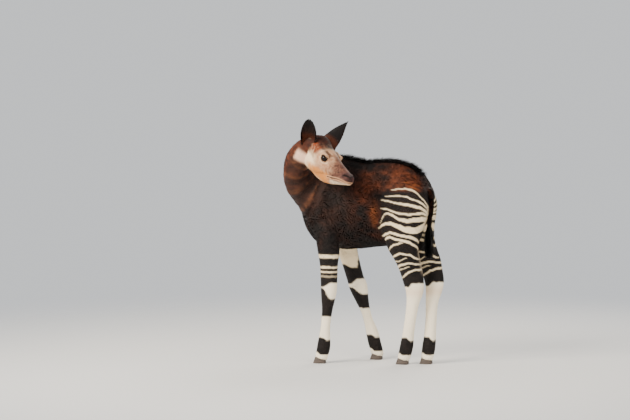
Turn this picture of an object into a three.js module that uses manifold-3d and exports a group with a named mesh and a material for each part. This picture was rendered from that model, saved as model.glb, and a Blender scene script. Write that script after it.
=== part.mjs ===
// A young okapi, life size, standing and looking back over its left side.
// Millimetres, +Z up. The animal's forward is -X and its left side is -Y.
// The solids show the outer surface of the coat. The body is one smooth shape
// made from lobes (chains of elliptical sections), meshed part by part and
// parted by thin cuts.
import * as THREE from 'three';
import * as BufferGeometryUtils from 'three/addons/utils/BufferGeometryUtils.js';
import Module from 'manifold-3d';

const wasm = await Module();
wasm.setup();
const { Manifold, Mesh: SolidMesh } = wasm;

// Driving dimensions
const WITHERS = 1070; // height over the shoulders, coat included
const BELLY = 600; // height of the lowest line of the chest and belly
const RIB_HALF_WIDTH = 147; // half the greatest width of the barrel
const TRUNK_BEND = 0.000315; // sideways bend of the spine, per mm of length squared
const TRUNK_BEND_X = -52; // where along the trunk the bend is deepest
const TRUNK_SIDE = 45; // how far the middle of the trunk stands to its right
const HEAD_SCALE = 1.13; // head length is 330 of these units, poll to nose
const HEAD_TURN = 55.8; // degrees, heading of the face in the view plane's frame
const HEAD_DROP = 30.6; // degrees the face points below level
const HEAD_ROLL = -7.6; // degrees of roll about the face's length
const VIEW_TURN = 22; // degrees from the animal's side to the view the head was set in
const POLL = [-240, -170, 1183]; // top of the head between the ears
const EYE_RADIUS = 18.5;
const EAR_WALL = 5;
const HOOF_HEIGHT = 36;
const HOOF_HEEL_HEIGHT = 20;
const CLAW_LENGTH = 68;
const CLAW_WIDTH = 25;
const CLAW_GAP = 3;
const GAP = 0.3; // gap between neighbouring solids
const SMALLEST_EDGE = 0.02; // corners nearer than this are one

// Colours of the parts
const COAT_DARK = { color: 0x24160f, roughness: 0.85, metalness: 0 };
const COAT_FACE = { color: 0xb9916c, roughness: 0.85, metalness: 0 };
const COAT_WHITE = { color: 0xcfc6b8, roughness: 0.85, metalness: 0 };
const COAT_BLACK = { color: 0x15100e, roughness: 0.85, metalness: 0 };
const EYE_DARK = { color: 0x120c0a, roughness: 0.1, metalness: 0 };
const HOOF_HORN = { color: 0x3b332d, roughness: 0.5, metalness: 0 };

// Small vector helpers
const add = (p, q, t = 1) => [p[0] + q[0] * t, p[1] + q[1] * t, p[2] + q[2] * t];
const dot = (p, q) => p[0] * q[0] + p[1] * q[1] + p[2] * q[2];
const cross = (p, q) => [
  p[1] * q[2] - p[2] * q[1],
  p[2] * q[0] - p[0] * q[2],
  p[0] * q[1] - p[1] * q[0],
];
const unit = (p) => add([0, 0, 0], p, 1 / Math.hypot(...p));
const mix = (a, b, t) => a + (b - a) * t;
const radians = THREE.MathUtils.degToRad;

// The spine is bent: its middle line lies at this Y.
const spineY = (x) => TRUNK_SIDE - TRUNK_BEND * (x - TRUNK_BEND_X) ** 2;

// Axes of the head: along the face, to its left and out of its top
function headAxes() {
  const [turn, drop, roll, view] = [HEAD_TURN, HEAD_DROP, HEAD_ROLL, VIEW_TURN].map(radians);
  const toRow = (p) => [
    p[0] * Math.cos(view) - p[1] * Math.sin(view),
    p[0] * Math.sin(view) + p[1] * Math.cos(view),
    p[2],
  ];
  const face = [Math.cos(drop) * Math.cos(turn), -Math.cos(drop) * Math.sin(turn), -Math.sin(drop)];
  const level = [Math.sin(turn), Math.cos(turn), 0];
  const top = cross(face, level);
  const left = add(add([0, 0, 0], level, Math.cos(roll)), top, Math.sin(roll));
  const up = add(add([0, 0, 0], level, -Math.sin(roll)), top, Math.cos(roll));
  return [toRow(face), toRow(left), toRow(up)];
}
const [FACE, LEFT, UP] = headAxes();

// A point given along the face, to the left and up, in head units
function headPoint(along, left, up) {
  let p = add(POLL, FACE, along * HEAD_SCALE);
  p = add(p, LEFT, left * HEAD_SCALE);
  return add(p, UP, up * HEAD_SCALE);
}
function headDirection(along, left, up) {
  const forward = add([0, 0, 0], FACE, along);
  return unit(add(add(forward, LEFT, left), UP, up));
}

// A smooth curve through stations, each a list of numbers, halved steps times over
function smoothStations(stations, steps) {
  const out = [];
  const at = (i) => stations[Math.min(Math.max(i, 0), stations.length - 1)];
  for (let i = 0; i < stations.length - 1; i += 1) {
    for (let s = 0; s < steps; s += 1) {
      const t = s / steps;
      out.push(at(i).map((value, n) => {
        const [p0, p1, p2, p3] = [at(i - 1)[n], value, at(i + 1)[n], at(i + 2)[n]];
        const slope1 = (p2 - p0) / 2;
        const slope2 = (p3 - p1) / 2;
        return (2 * t ** 3 - 3 * t ** 2 + 1) * p1 + (t ** 3 - 2 * t ** 2 + t) * slope1
          + (-2 * t ** 3 + 3 * t ** 2) * p2 + (t ** 3 - t ** 2) * slope2;
      }));
    }
  }
  out.push(stations[stations.length - 1]);
  return out;
}

// A lobe is a chain of elliptical sections [x, y, z, half width, half depth].
// The width lies along side; the depth and the round ends take the other half size.
function lobe(stations, side, steps = 3) {
  const sections = smoothStations(stations, steps);
  const links = sections.slice(1).map((q, i) => {
    const p = sections[i];
    const run = [q[0] - p[0], q[1] - p[1], q[2] - p[2]];
    const across = side || unit([run[1], -run[0], 0]);
    return { p, run, across, length2: dot(run, run), a: p[3], b: p[4], da: q[3] - p[3], db: q[4] - p[4] };
  });
  const bounds = new THREE.Sphere().setFromPoints(sections.map((s) => new THREE.Vector3(s[0], s[1], s[2])));
  const reach = bounds.radius + Math.max(...sections.map((s) => Math.max(s[3], s[4])));
  const distance = (x, y, z) => {
    let best = Infinity;
    for (const { p, run, across, length2, a, b, da, db } of links) {
      const [dx, dy, dz] = [x - p[0], y - p[1], z - p[2]];
      const t = Math.min(Math.max((dx * run[0] + dy * run[1] + dz * run[2]) / length2, 0), 1);
      const [ox, oy, oz] = [dx - run[0] * t, dy - run[1] * t, dz - run[2] * t];
      const s = ox * across[0] + oy * across[1] + oz * across[2];
      const s2 = s * s;
      const rest2 = Math.max(ox * ox + oy * oy + oz * oz - s2, 0);
      const a2 = (a + da * t) ** 2;
      const b2 = (b + db * t) ** 2;
      const level = Math.sqrt(s2 / a2 + rest2 / b2);
      const slope = Math.sqrt(s2 / (a2 * a2) + rest2 / (b2 * b2));
      best = Math.min(best, level < 1e-6 ? -Math.sqrt(Math.min(a2, b2)) : level * (level - 1) / slope);
    }
    return best;
  };
  return { distance, centre: bounds.center.toArray(), reach };
}

// Joins two distances with a fillet of about the given size
function blend(a, b, size) {
  const h = Math.max(size - Math.abs(a - b), 0) / size;
  return Math.min(a, b) - h * h * size / 4;
}

// Trunk: lobes along the bent spine, [x, z, half width, half height]
const trunkLobe = (rows) => lobe(rows.map(([x, z, a, b]) => [x, spineY(x), z, a, b]), [0, 1, 0]);
const barrel = trunkLobe([
  [-288, BELLY + 165, 82, 96],
  [-235, BELLY + 176, 116, 172],
  [-140, BELLY + 193, 143, 201],
  [-40, BELLY + 203, RIB_HALF_WIDTH, 200],
  [60, BELLY + 212, 142, 193],
  [125, BELLY + 238, 122, 165],
  [178, BELLY + 265, 92, 108],
]);
const backLine = trunkLobe([
  [-240, WITHERS - 92, 58, 92],
  [-150, WITHERS - 104, 70, 96],
  [-50, WITHERS - 112, 82, 92],
  [40, WITHERS - 106, 88, 94],
  [130, WITHERS - 112, 90, 92],
  [190, WITHERS - 132, 80, 82],
  [226, WITHERS - 168, 60, 72],
]);
const dorsalFringe = trunkLobe([
  [-250, WITHERS - 22, 14, 26],
  [-120, WITHERS - 34, 14, 26],
  [-40, WITHERS - 43, 14, 24],
  [60, WITHERS - 34, 14, 24],
  [180, WITHERS - 50, 14, 22],
  [244, WITHERS - 102, 12, 22],
]);
const breast = trunkLobe([
  [-318, BELLY + 240, 56, 74],
  [-336, BELLY + 165, 52, 66],
  [-302, BELLY + 90, 44, 62],
]);
const shoulder = (hand) => lobe([
  [-225, spineY(-225) + hand * 50, 965, 34, 60],
  [-262, spineY(-262) + hand * 74, 850, 42, 74],
  [-296, spineY(-296) + hand * 82, 750, 46, 64],
  [-240, spineY(-240) + hand * 82, 670, 40, 58],
], [0, 1, 0]);
const haunch = (hand) => lobe([
  [190, spineY(190) + hand * 52, 925, 50, 78],
  [210, spineY(210) + hand * 66, 830, 60, 104],
  [182, spineY(182) + hand * 74, 720, 56, 100],
], [0, 1, 0]);

// Legs: [x, y, z, half width, half depth] from inside the body to the coronet
const LEGS = {
  fore_left: {
    knee: 384, foot: [-268, -106], heading: 12,
    stations: [
      [-250, -70, 680, 42, 60], [-228, -80, 600, 44, 62], [-224, -85, 520, 38, 51],
      [-222, -88, 436, 35, 47], [-222, -90, 384, 35, 45], [-226, -91, 331, 30, 38],
      [-230, -93, 279, 25, 30], [-238, -96, 200, 23, 27], [-242, -98, 148, 26, 31],
      [-246, -99, 95, 31, 37], [-252, -101, 60, 31, 36], [-258, -103, 34, 29, 35],
    ],
  },
  fore_right: {
    knee: 390, foot: [-44, 144], heading: 12,
    stations: [
      [-232, 78, 690, 42, 60], [-196, 88, 610, 44, 58], [-174, 96, 528, 38, 51],
      [-148, 107, 428, 36, 48], [-134, 113, 386, 37, 51], [-115, 121, 315, 30, 37],
      [-99, 127, 262, 25, 27], [-84, 132, 205, 24, 27], [-67, 137, 150, 28, 34],
      [-54, 140, 95, 31, 36], [-44, 142, 60, 31, 35], [-38, 144, 34, 29, 35],
    ],
  },
  hind_left: {
    knee: 405, foot: [148, 15], heading: 8,
    stations: [
      [172, -50, 720, 58, 105], [170, -52, 655, 54, 92], [180, -41, 602, 46, 76],
      [191, -20, 549, 41, 67], [201, -2, 496, 37, 62], [209, 12, 443, 35, 58],
      [214, 20, 390, 33, 50], [206, 20, 335, 28, 38], [198, 19, 280, 25, 33],
      [190, 18, 225, 25, 32], [180, 17, 154, 28, 33], [173, 16, 101, 32, 37],
      [164, 15, 60, 31, 36], [156, 15, 34, 29, 34],
    ],
  },
  hind_right: {
    knee: 405, foot: [258, 76], heading: 8,
    stations: [
      [190, 92, 720, 58, 105], [210, 100, 640, 52, 88], [240, 110, 575, 44, 72],
      [262, 117, 530, 40, 64], [277, 118, 480, 36, 58], [288, 118, 431, 34, 54],
      [288, 112, 384, 32, 46], [281, 105, 332, 28, 37], [279, 101, 280, 25, 33],
      [278, 97, 228, 25, 32], [276, 89, 150, 28, 34], [272, 83, 95, 32, 37],
      [268, 79, 60, 31, 36], [264, 76, 34, 29, 34],
    ],
  },
};
const legLobes = Object.fromEntries(Object.entries(LEGS).map(
  ([name, leg]) => [name, lobe(leg.stations, [0, 1, 0])],
));

// Neck: rises forward out of the chest, then bends back to the left
const NECK = [
  [-190, 34, 905, 92, 150],
  [-275, 12, 885, 92, 142],
  [-350, -20, 905, 86, 114],
  [-392, -72, 965, 78, 96],
  [-390, -120, 1035, 70, 83],
  [-345, -158, 1093, 62, 72],
  [-290, -168, 1130, 56, 66],
  [-235, -178, 1140, 50, 58],
];
const neck = lobe(NECK, null);

// Head, in head units: [along, up, half width, half height]
const headLobe = (rows, sideways = 0) => lobe(
  rows.map(([along, up, a, b]) => [...headPoint(along, sideways, up), a * HEAD_SCALE, b * HEAD_SCALE]),
  LEFT,
);
const skull = headLobe([
  [-2, -48, 48, 44], [50, -46, 57, 49], [105, -50, 57, 51], [150, -54, 46, 50],
  [200, -55, 36, 46], [250, -49, 32, 37], [280, -42, 31, 28], [296, -39, 27, 22],
]);
const jaw = headLobe([
  [48, -106, 42, 47], [100, -110, 38, 43], [150, -107, 31, 38], [200, -93, 25, 30],
  [250, -70, 21, 20], [280, -56, 18, 14], [293, -51, 15, 11],
]);
const cheek = (hand) => headLobe([[50, -96, 18, 42], [95, -88, 18, 36], [140, -78, 14, 26]], hand * 36);
const brow = (hand) => headLobe([[104, -20, 12, 12], [138, -21, 11, 11]], hand * 41);

const LEFT_HAND = -1; // the animal's left lies toward -Y
const RIGHT_HAND = 1;

// The lobes of the body with the size of the fillet that joins each to the rest
const BODY = [
  [barrel, 1], [backLine, 60], [dorsalFringe, 16], [breast, 40],
  [shoulder(LEFT_HAND), 36], [shoulder(RIGHT_HAND), 36],
  [haunch(LEFT_HAND), 36], [haunch(RIGHT_HAND), 36],
  ...Object.values(legLobes).map((leg) => [leg, 24]),
  [neck, 50], [skull, 24], [jaw, 22],
  [cheek(LEFT_HAND), 14], [cheek(RIGHT_HAND), 14], [brow(LEFT_HAND), 12], [brow(RIGHT_HAND), 12],
];

// Distance to the surface of the coat, negative inside
function bodyField(x, y, z) {
  let d = Infinity;
  for (const [{ distance, centre, reach }, fillet] of BODY) {
    const nearest = Math.hypot(x - centre[0], y - centre[1], z - centre[2]) - reach;
    if (nearest < d + fillet) {
      const other = distance(x, y, z);
      d = d === Infinity ? other : blend(d, other, fillet);
    }
  }
  return d;
}

// Closed mesh from rings of points and a point at each end
function ringMesh(rings, first, last) {
  const around = rings[0].length;
  const positions = [...rings.flat(2), ...first, ...last];
  const indices = [];
  for (let i = 0; i < rings.length - 1; i += 1) {
    for (let j = 0; j < around; j += 1) {
      const k = (j + 1) % around;
      const [a, b, c, d] = [i * around + j, i * around + k, (i + 1) * around + j, (i + 1) * around + k];
      indices.push(a, b, d, a, d, c);
    }
  }
  const end = rings.length * around;
  for (let j = 0; j < around; j += 1) {
    const k = (j + 1) % around;
    indices.push(end, k, j);
    indices.push(end + 1, end - around + j, end - around + k);
  }
  const geometry = new THREE.BufferGeometry();
  geometry.setAttribute('position', new THREE.Float32BufferAttribute(positions, 3));
  geometry.setIndex(indices);
  return geometry;
}

// Where a ray from inside first leaves the field's surface
function leavePoint(field, from, toward) {
  let inside = 0;
  let outside = 0;
  for (let i = 0; i < 400 && outside === 0; i += 1) {
    const value = field(...add(from, toward, inside));
    if (value >= 0) {
      outside = inside;
    } else {
      inside += Math.max(-value * 0.7, 0.4);
    }
  }
  inside = Math.max(outside - 6, 0);
  while (inside > 0 && field(...add(from, toward, inside)) >= 0) {
    inside = Math.max(inside - 6, 0);
  }
  for (let i = 0; i < 14; i += 1) {
    const middle = (inside + outside) / 2;
    if (field(...add(from, toward, middle)) < 0) {
      inside = middle;
    } else {
      outside = middle;
    }
  }
  return add(from, toward, outside);
}

const TURNING_RINGS = 4; // how many rings it takes to turn from a cut to the axis

// The part of a path that lies inside a field, as evenly spaced points
function axisInside(field, stations, count) {
  const dense = smoothStations(stations.map((s) => s.slice(0, 3)), 16).filter((p) => field(...p) < -2);
  return Array.from({ length: count }, (_, i) => dense[Math.round(i * (dense.length - 1) / (count - 1))]);
}

// Wraps a field in rings about an axis, given as a list of points. The first and
// last rings lie along the cuts there, and the rest turn from one to the other.
function wrap(field, axis, around, side, firstNormal, lastNormal) {
  const last = axis.length - 1;
  const tangents = axis.map((_, i) => unit(add(axis[Math.min(i + 1, last)], axis[Math.max(i - 1, 0)], -1)));
  const share = (i) => Math.max(1 - i / TURNING_RINGS, 0);
  const normals = tangents.map((tangent, i) => {
    const first = firstNormal ? share(i) : 0;
    const end = lastNormal ? share(last - i) : 0;
    let normal = add([0, 0, 0], tangent, Math.max(1 - first - end, 0));
    normal = add(normal, firstNormal || tangent, first);
    return unit(add(normal, lastNormal || tangent, end));
  });
  const rings = axis.map((point, i) => {
    const up = unit(cross(normals[i], side));
    const across = cross(up, normals[i]);
    return Array.from({ length: around }, (_, j) => {
      const angle = 2 * Math.PI * j / around;
      return leavePoint(field, point, add(add([0, 0, 0], across, Math.cos(angle)), up, Math.sin(angle)));
    });
  });
  const away = normals[0].map((v) => -v);
  return ringMesh(rings, leavePoint(field, axis[0], away), leavePoint(field, axis[last], normals[last]));
}

function toSolid(geometry) {
  const bare = geometry.clone();
  bare.deleteAttribute('normal');
  bare.deleteAttribute('uv');
  const merged = BufferGeometryUtils.mergeVertices(bare, 0.001);
  const solid = new Manifold(new SolidMesh({
    numProp: 3,
    vertProperties: new Float32Array(merged.attributes.position.array),
    triVerts: new Uint32Array(merged.index.array),
  }));
  return solid.volume() < 0 ? toSolid(flipped(merged)) : solid;
}

function flipped(geometry) {
  const turned = geometry.clone();
  turned.setIndex(Array.from(geometry.index.array).reverse());
  return turned;
}

// The largest piece of a solid, for cuts that leave crumbs
function mainPiece(solid) {
  const pieces = solid.decompose();
  return pieces.reduce((best, piece) => (piece.volume() > best.volume() ? piece : best));
}

// Drops the triangles that merging their corners has flattened
function withoutSlivers(geometry) {
  const index = geometry.index.array;
  const kept = [];
  for (let i = 0; i < index.length; i += 3) {
    const [a, b, c] = [index[i], index[i + 1], index[i + 2]];
    if (a !== b && b !== c && c !== a) {
      kept.push(a, b, c);
    }
  }
  geometry.setIndex(kept);
  return geometry;
}

function toMesh(name, solid, finish) {
  const mesh = solid.getMesh();
  const raw = new THREE.BufferGeometry();
  raw.setAttribute('position', new THREE.Float32BufferAttribute(mesh.vertProperties, 3));
  raw.setIndex(Array.from(mesh.triVerts));
  const geometry = withoutSlivers(BufferGeometryUtils.mergeVertices(raw, SMALLEST_EDGE));
  geometry.computeVertexNormals();
  const out = new THREE.Mesh(geometry, new THREE.MeshStandardMaterial(finish));
  out.name = name;
  return out;
}

// A cutting plane: through a point, with its normal toward the side that is kept
const plane = (through, normal) => {
  const n = unit(normal);
  return { n, offset: dot(n, through) };
};
const behind = ({ n, offset }) => ({ n: n.map((v) => -v), offset: -offset });
const cut = (solid, { n, offset }) => solid.trimByPlane(n, offset + GAP / 2);
const OVERSHOOT = 12; // the wrapped field ends this far past each cut, which then trims it flat
const within = (planes) => (x, y, z) => planes.reduce(
  (d, { n, offset }) => Math.max(d, offset - OVERSHOOT - (n[0] * x + n[1] * y + n[2] * z)),
  bodyField(x, y, z),
);
const trimmed = (geometry, planes) => planes.reduce(cut, toSolid(geometry));

// The cuts that part the body
const NECK_CUT = plane([-300, -5, 930], [-0.8, -0.25, 0.52]); // keeps the neck
const HEAD_CUT = plane(headPoint(-22, 0, -6), headDirection(0.9, 0, 0.43)); // keeps the head
const FORE_CUT = plane([0, 0, 572], [0, 0, -1]); // keeps the forelegs
const HIND_CUT = plane([78, 0, 618], [0.68, 0, -0.73]); // keeps the hind legs
const MIDDLE_CUT = plane([250, spineY(250) + 4, 0], [0.22, 1, 0]); // keeps the right side
const kneeCut = (height) => plane([0, 0, height], [0, 0, 1]); // keeps the upper leg
const CROWN_SCALE = 0.8; // of a claw's top edge to its sole
const CROWN_SHIFT = -5; // the top edge stands back from the toe
const coronetCut = (foot, heading) => {
  const forward = headingVector(heading);
  const rise = HOOF_HEIGHT - HOOF_HEEL_HEIGHT;
  return plane([foot[0], foot[1], (HOOF_HEIGHT + HOOF_HEEL_HEIGHT) / 2], [
    -forward[0] * rise, -forward[1] * rise, CLAW_LENGTH * CROWN_SCALE,
  ]);
};
const headingVector = (degrees) => [-Math.cos(radians(degrees)), -Math.sin(radians(degrees)), 0];

const model = new THREE.Group();
const solids = {};

function addNode(name, solid, finish) {
  solids[name] = mainPiece(solid);
  model.add(toMesh(name, solids[name], finish));
}

// Trunk, with the shoulders, haunches and the roots of the legs
const TRUNK_AROUND = 36;
const TRUNK_RINGS = 29;
const TRUNK_FRONT = -366; // where the axis of its rings starts and ends
const TRUNK_REAR = 280;
const AXIS_HEIGHT = 800; // of the middle of the trunk's rings, over the floor
const AXIS_RUMP_RISE = 60;
const AXIS_BREAST_DROP = 45;
const AXIS_EVENNESS = 0.3; // 0 sets the rings closer at both ends, 1 sets them evenly
const trunkPlanes = [behind(NECK_CUT), behind(FORE_CUT), behind(HIND_CUT)];
const grownBy = (field, amount) => (x, y, z) => field(x, y, z) - amount;
function trunkGeometry(grown) {
  const axis = Array.from({ length: TRUNK_RINGS }, (_, i) => {
    const share = (1 - Math.cos(Math.PI * i / (TRUNK_RINGS - 1))) / 2;
    const x = mix(TRUNK_FRONT, TRUNK_REAR, mix(share, i / (TRUNK_RINGS - 1), AXIS_EVENNESS));
    const rise = AXIS_RUMP_RISE * THREE.MathUtils.smoothstep(x, 60, 260);
    const drop = AXIS_BREAST_DROP * THREE.MathUtils.smoothstep(-x, 180, 366);
    return [x, spineY(x), AXIS_HEIGHT + rise - drop];
  });
  return wrap(grownBy(within(trunkPlanes), grown), axis, TRUNK_AROUND, [0, 1, 0]);
}
addNode('trunk', trimmed(trunkGeometry(0), trunkPlanes), COAT_DARK);

// Neck
const NECK_AROUND = 22;
const NECK_RINGS = 13;
const neckPlanes = [NECK_CUT, behind(HEAD_CUT)];
const inNeck = within(neckPlanes);
function neckGeometry(grown) {
  const axis = axisInside(inNeck, NECK, NECK_RINGS);
  return wrap(grownBy(inNeck, grown), axis, NECK_AROUND, [0, 0, 1], NECK_CUT.n, HEAD_CUT.n);
}
addNode('neck', trimmed(neckGeometry(0), neckPlanes), COAT_DARK);

// Head with sockets for the eyes
const HEAD_AROUND = 24;
const HEAD_STEPS = 25;
const HEAD_AXIS_END = 313; // where the axis of its rings ends, inside the nose
const EYES = {
  eye_left: headPoint(137, 42, -31),
  eye_right: headPoint(137, -42, -31),
};
const eyeGeometry = (centre, radius) => new THREE.SphereGeometry(radius, 12, 9).translate(...centre);
function headGeometry(grown) {
  const region = within([HEAD_CUT]);
  const axis = Array.from({ length: HEAD_STEPS }, (_, i) => {
    const share = i / (HEAD_STEPS - 1);
    const along = mix(4, HEAD_AXIS_END, mix(share, Math.sin(share * Math.PI / 2), 0.7));
    return headPoint(along, 0, mix(-62, -41, along / HEAD_AXIS_END));
  });
  return wrap(grownBy(region, grown), axis, HEAD_AROUND, LEFT, HEAD_CUT.n, null);
}
let head = trimmed(headGeometry(0), [HEAD_CUT]);
for (const centre of Object.values(EYES)) {
  head = head.subtract(toSolid(eyeGeometry(centre, EYE_RADIUS + GAP)));
}
addNode('head', head, COAT_FACE);
for (const [name, centre] of Object.entries(EYES)) {
  addNode(name, toSolid(eyeGeometry(centre, EYE_RADIUS)), EYE_DARK);
}

// Ears: a leaf that is rolled to a cup at its root. The outline of the leaf is a power
// of a sine that starts part way along, so that a later start gives a broader root.
const EAR_ROWS = 10;
const EAR_COLUMNS = 6;
const EARS = {
  ear_right: {
    root: headPoint(2, -45, -44), along: headDirection(-0.04, -0.4, 0.9), open: headDirection(0.45, -0.86, 0.15),
    length: 154, halfWidth: 48, start: 0.26, power: 0.62,
  },
  ear_left: {
    root: headPoint(8, 44, -26), along: headDirection(-0.25, 0.64, 0.72), open: headDirection(-0.2, 0.95, 0),
    length: 170, halfWidth: 54, start: 0.45, power: 1.3,
  },
};
function earGeometry({ root, along, open, length, halfWidth, start, power }) {
  const across = unit(cross(open, along));
  const facing = cross(along, across);
  const leaf = (row, column, inset) => {
    const t = row / EAR_ROWS;
    const reach = halfWidth * Math.sin(Math.PI * mix(start, 0.985, t) ** 1.1) ** power;
    const curl = mix(1.9, 0.45, t ** 0.55); // half the angle that the section turns through
    const rim = Math.min(curl, Math.PI / 2);
    const angle = curl * (2 * column / EAR_COLUMNS - 1);
    const radius = reach / Math.sin(rim);
    const wall = Math.min(inset * EAR_WALL, radius * 0.4);
    const depth = radius * (Math.cos(rim) * 0.5 - Math.cos(angle) + 0.35) + wall * Math.cos(angle);
    const p = add(add(root, along, length * t), across, (radius - wall) * Math.sin(angle));
    return add(p, facing, depth);
  };
  const rings = Array.from({ length: EAR_ROWS + 1 }, (_, row) => {
    const outer = Array.from({ length: EAR_COLUMNS + 1 }, (__, column) => leaf(row, column, 0));
    const inner = Array.from({ length: EAR_COLUMNS + 1 }, (__, column) => leaf(row, EAR_COLUMNS - column, 1));
    return [...outer, ...inner];
  });
  const middle = (ring) => {
    const [p, q] = [ring[EAR_COLUMNS / 2], ring[EAR_COLUMNS + 1 + EAR_COLUMNS / 2]];
    return add(add([0, 0, 0], p, 0.5), q, 0.5);
  };
  return ringMesh(rings, middle(rings[0]), add(middle(rings[EAR_ROWS]), along, 3));
}
const grownHead = toSolid(headGeometry(2 * GAP)).add(toSolid(neckGeometry(2 * GAP)));
for (const [name, ear] of Object.entries(EARS)) {
  addNode(name, toSolid(earGeometry(ear)).subtract(grownHead), COAT_BLACK);
}

// Legs: upper and lower halves, and two claws on each foot
const UPPER_AROUND = 18;
const LOWER_AROUND = 14;
const CLAW_POINTS = 12;
const CLAW_TAPER = 0.2; // how much narrower the toe is than the middle
function clawGeometry(foot, heading, hand) {
  const forward = headingVector(heading);
  const across = [-forward[1], forward[0], 0];
  const offset = hand * (CLAW_GAP + CLAW_WIDTH) / 2;
  const outline = (scale, shift, heightAt) => Array.from({ length: CLAW_POINTS }, (_, i) => {
    const angle = 2 * Math.PI * i / CLAW_POINTS;
    const reach = Math.cos(angle) * CLAW_LENGTH / 2;
    const width = Math.sin(angle) * CLAW_WIDTH / 2 * (1 - CLAW_TAPER * Math.cos(angle));
    let p = add([foot[0], foot[1], 0], forward, reach * scale + shift);
    p = add(p, across, offset + width * scale);
    p[2] = heightAt((reach * scale + shift) / (CLAW_LENGTH * CROWN_SCALE));
    return p;
  });
  const top = (t) => (HOOF_HEIGHT + HOOF_HEEL_HEIGHT) / 2 + (HOOF_HEIGHT - HOOF_HEEL_HEIGHT) * t - GAP / 2;
  const sole = outline(1, 0, () => 0);
  const crown = outline(CROWN_SCALE, CROWN_SHIFT, top);
  const middle = (ring) => ring.reduce((sum, p) => add(sum, p, 1 / ring.length), [0, 0, 0]);
  return ringMesh([sole, crown], middle(sole), middle(crown));
}
const UPPER_RINGS = { fore: 8, hind: 11 };
const LOWER_RINGS = 15;
const rumps = []; // the grown haunches, which the tail keeps clear of
for (const [name, { knee, foot, heading, stations }] of Object.entries(LEGS)) {
  const kneePlane = kneeCut(knee);
  const soleEdge = coronetCut(foot, heading);
  const [end, hand] = name.split('_');
  const upper = {
    fore: [FORE_CUT, kneePlane],
    hind: [HIND_CUT, kneePlane, hand === 'right' ? MIDDLE_CUT : behind(MIDDLE_CUT)],
  }[end];
  const lower = [behind(kneePlane), soleEdge];
  const [inUpper, inLower] = [within(upper), within(lower)];
  const upperAxis = axisInside(inUpper, stations, UPPER_RINGS[end]);
  const lowerAxis = axisInside(inLower, stations, LOWER_RINGS);
  const upperGeometry = (grown) => wrap(
    grownBy(inUpper, grown), upperAxis, UPPER_AROUND, [0, 1, 0], upper[0].n, [0, 0, -1],
  );
  const lowerGeometry = wrap(inLower, lowerAxis, LOWER_AROUND, [0, 1, 0], [0, 0, -1], behind(soleEdge).n);
  addNode(`${name}_upper`, trimmed(upperGeometry(0), upper), COAT_DARK);
  if (end === 'hind') {
    rumps.push(toSolid(upperGeometry(GAP)));
  }
  addNode(`${name}_lower`, trimmed(lowerGeometry, lower), COAT_WHITE);
  const inward = hand === 'left' ? -1 : 1;
  addNode(`${name}_claw_inner`, toSolid(clawGeometry(foot, heading, inward)), HOOF_HORN);
  addNode(`${name}_claw_outer`, toSolid(clawGeometry(foot, heading, -inward)), HOOF_HORN);
}

// Tail and its tuft
const TAIL = [
  [280, 10, 918, 20, 20], [306, -2, 900, 18, 18], [318, -20, 840, 15, 15], [314, -34, 760, 14, 14],
  [310, -38, 700, 14, 14], [308, -36, 668, 17, 17], [309, -32, 630, 27, 27], [311, -28, 590, 22, 22],
  [313, -25, 560, 10, 10],
];
const TAIL_AROUND = 10;
const tailLobe = lobe(TAIL, [0, 1, 0]);
const TUFT_CUT = plane([0, 0, 684], [0, 0, -1]);
const tailAxis = smoothStations(TAIL, 2).map((s) => s.slice(0, 3));
const tailSolid = toSolid(wrap(tailLobe.distance, tailAxis, TAIL_AROUND, [0, 1, 0]));
const clearOfRump = [toSolid(trunkGeometry(GAP)), ...rumps].reduce(
  (tail, rump) => tail.subtract(rump),
  tailSolid,
);
addNode('tail', cut(clearOfRump, behind(TUFT_CUT)), COAT_BLACK);
addNode('tail_tuft', cut(clearOfRump, TUFT_CUT), COAT_BLACK);

// The origin is on the floor, under the middle of the whole animal.
const box = new THREE.Box3().setFromObject(model);
const middle = box.getCenter(new THREE.Vector3());
model.position.set(-middle.x, -middle.y, 0);
model.updateMatrixWorld(true);

export default model;
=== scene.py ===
"""A young okapi as a still museum model: skin, coat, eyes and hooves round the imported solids.

Body tables are in millimetres in the animal's own frame: +Z up, -X forward, -Y its left side.
The frame gives where that frame lies in the row, so every point is shifted by OFFSET at the end.
"""
import math
from functools import partial

import bmesh
import bpy
import numpy as np
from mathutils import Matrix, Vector


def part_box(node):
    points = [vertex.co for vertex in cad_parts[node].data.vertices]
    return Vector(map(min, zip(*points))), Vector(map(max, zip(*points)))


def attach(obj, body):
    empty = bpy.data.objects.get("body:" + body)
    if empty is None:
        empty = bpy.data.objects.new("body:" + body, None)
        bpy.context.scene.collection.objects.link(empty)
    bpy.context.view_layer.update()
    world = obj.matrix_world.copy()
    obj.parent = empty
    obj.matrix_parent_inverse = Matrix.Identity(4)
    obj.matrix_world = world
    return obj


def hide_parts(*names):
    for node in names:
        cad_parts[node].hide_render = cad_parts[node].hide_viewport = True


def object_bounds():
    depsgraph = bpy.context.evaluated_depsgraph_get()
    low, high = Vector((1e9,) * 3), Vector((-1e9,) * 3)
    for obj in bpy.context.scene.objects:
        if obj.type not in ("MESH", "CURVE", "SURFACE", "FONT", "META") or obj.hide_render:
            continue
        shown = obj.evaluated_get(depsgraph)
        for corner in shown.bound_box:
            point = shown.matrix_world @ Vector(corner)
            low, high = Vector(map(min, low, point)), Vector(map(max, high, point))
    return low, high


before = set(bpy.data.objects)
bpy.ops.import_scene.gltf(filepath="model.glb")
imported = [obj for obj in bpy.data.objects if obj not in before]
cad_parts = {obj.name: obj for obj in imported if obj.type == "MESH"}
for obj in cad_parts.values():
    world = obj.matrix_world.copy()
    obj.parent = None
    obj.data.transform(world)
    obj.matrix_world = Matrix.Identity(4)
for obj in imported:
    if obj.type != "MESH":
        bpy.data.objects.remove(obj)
CAD_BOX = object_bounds()
MM = 0.001
rng = np.random.default_rng(20)

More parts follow.
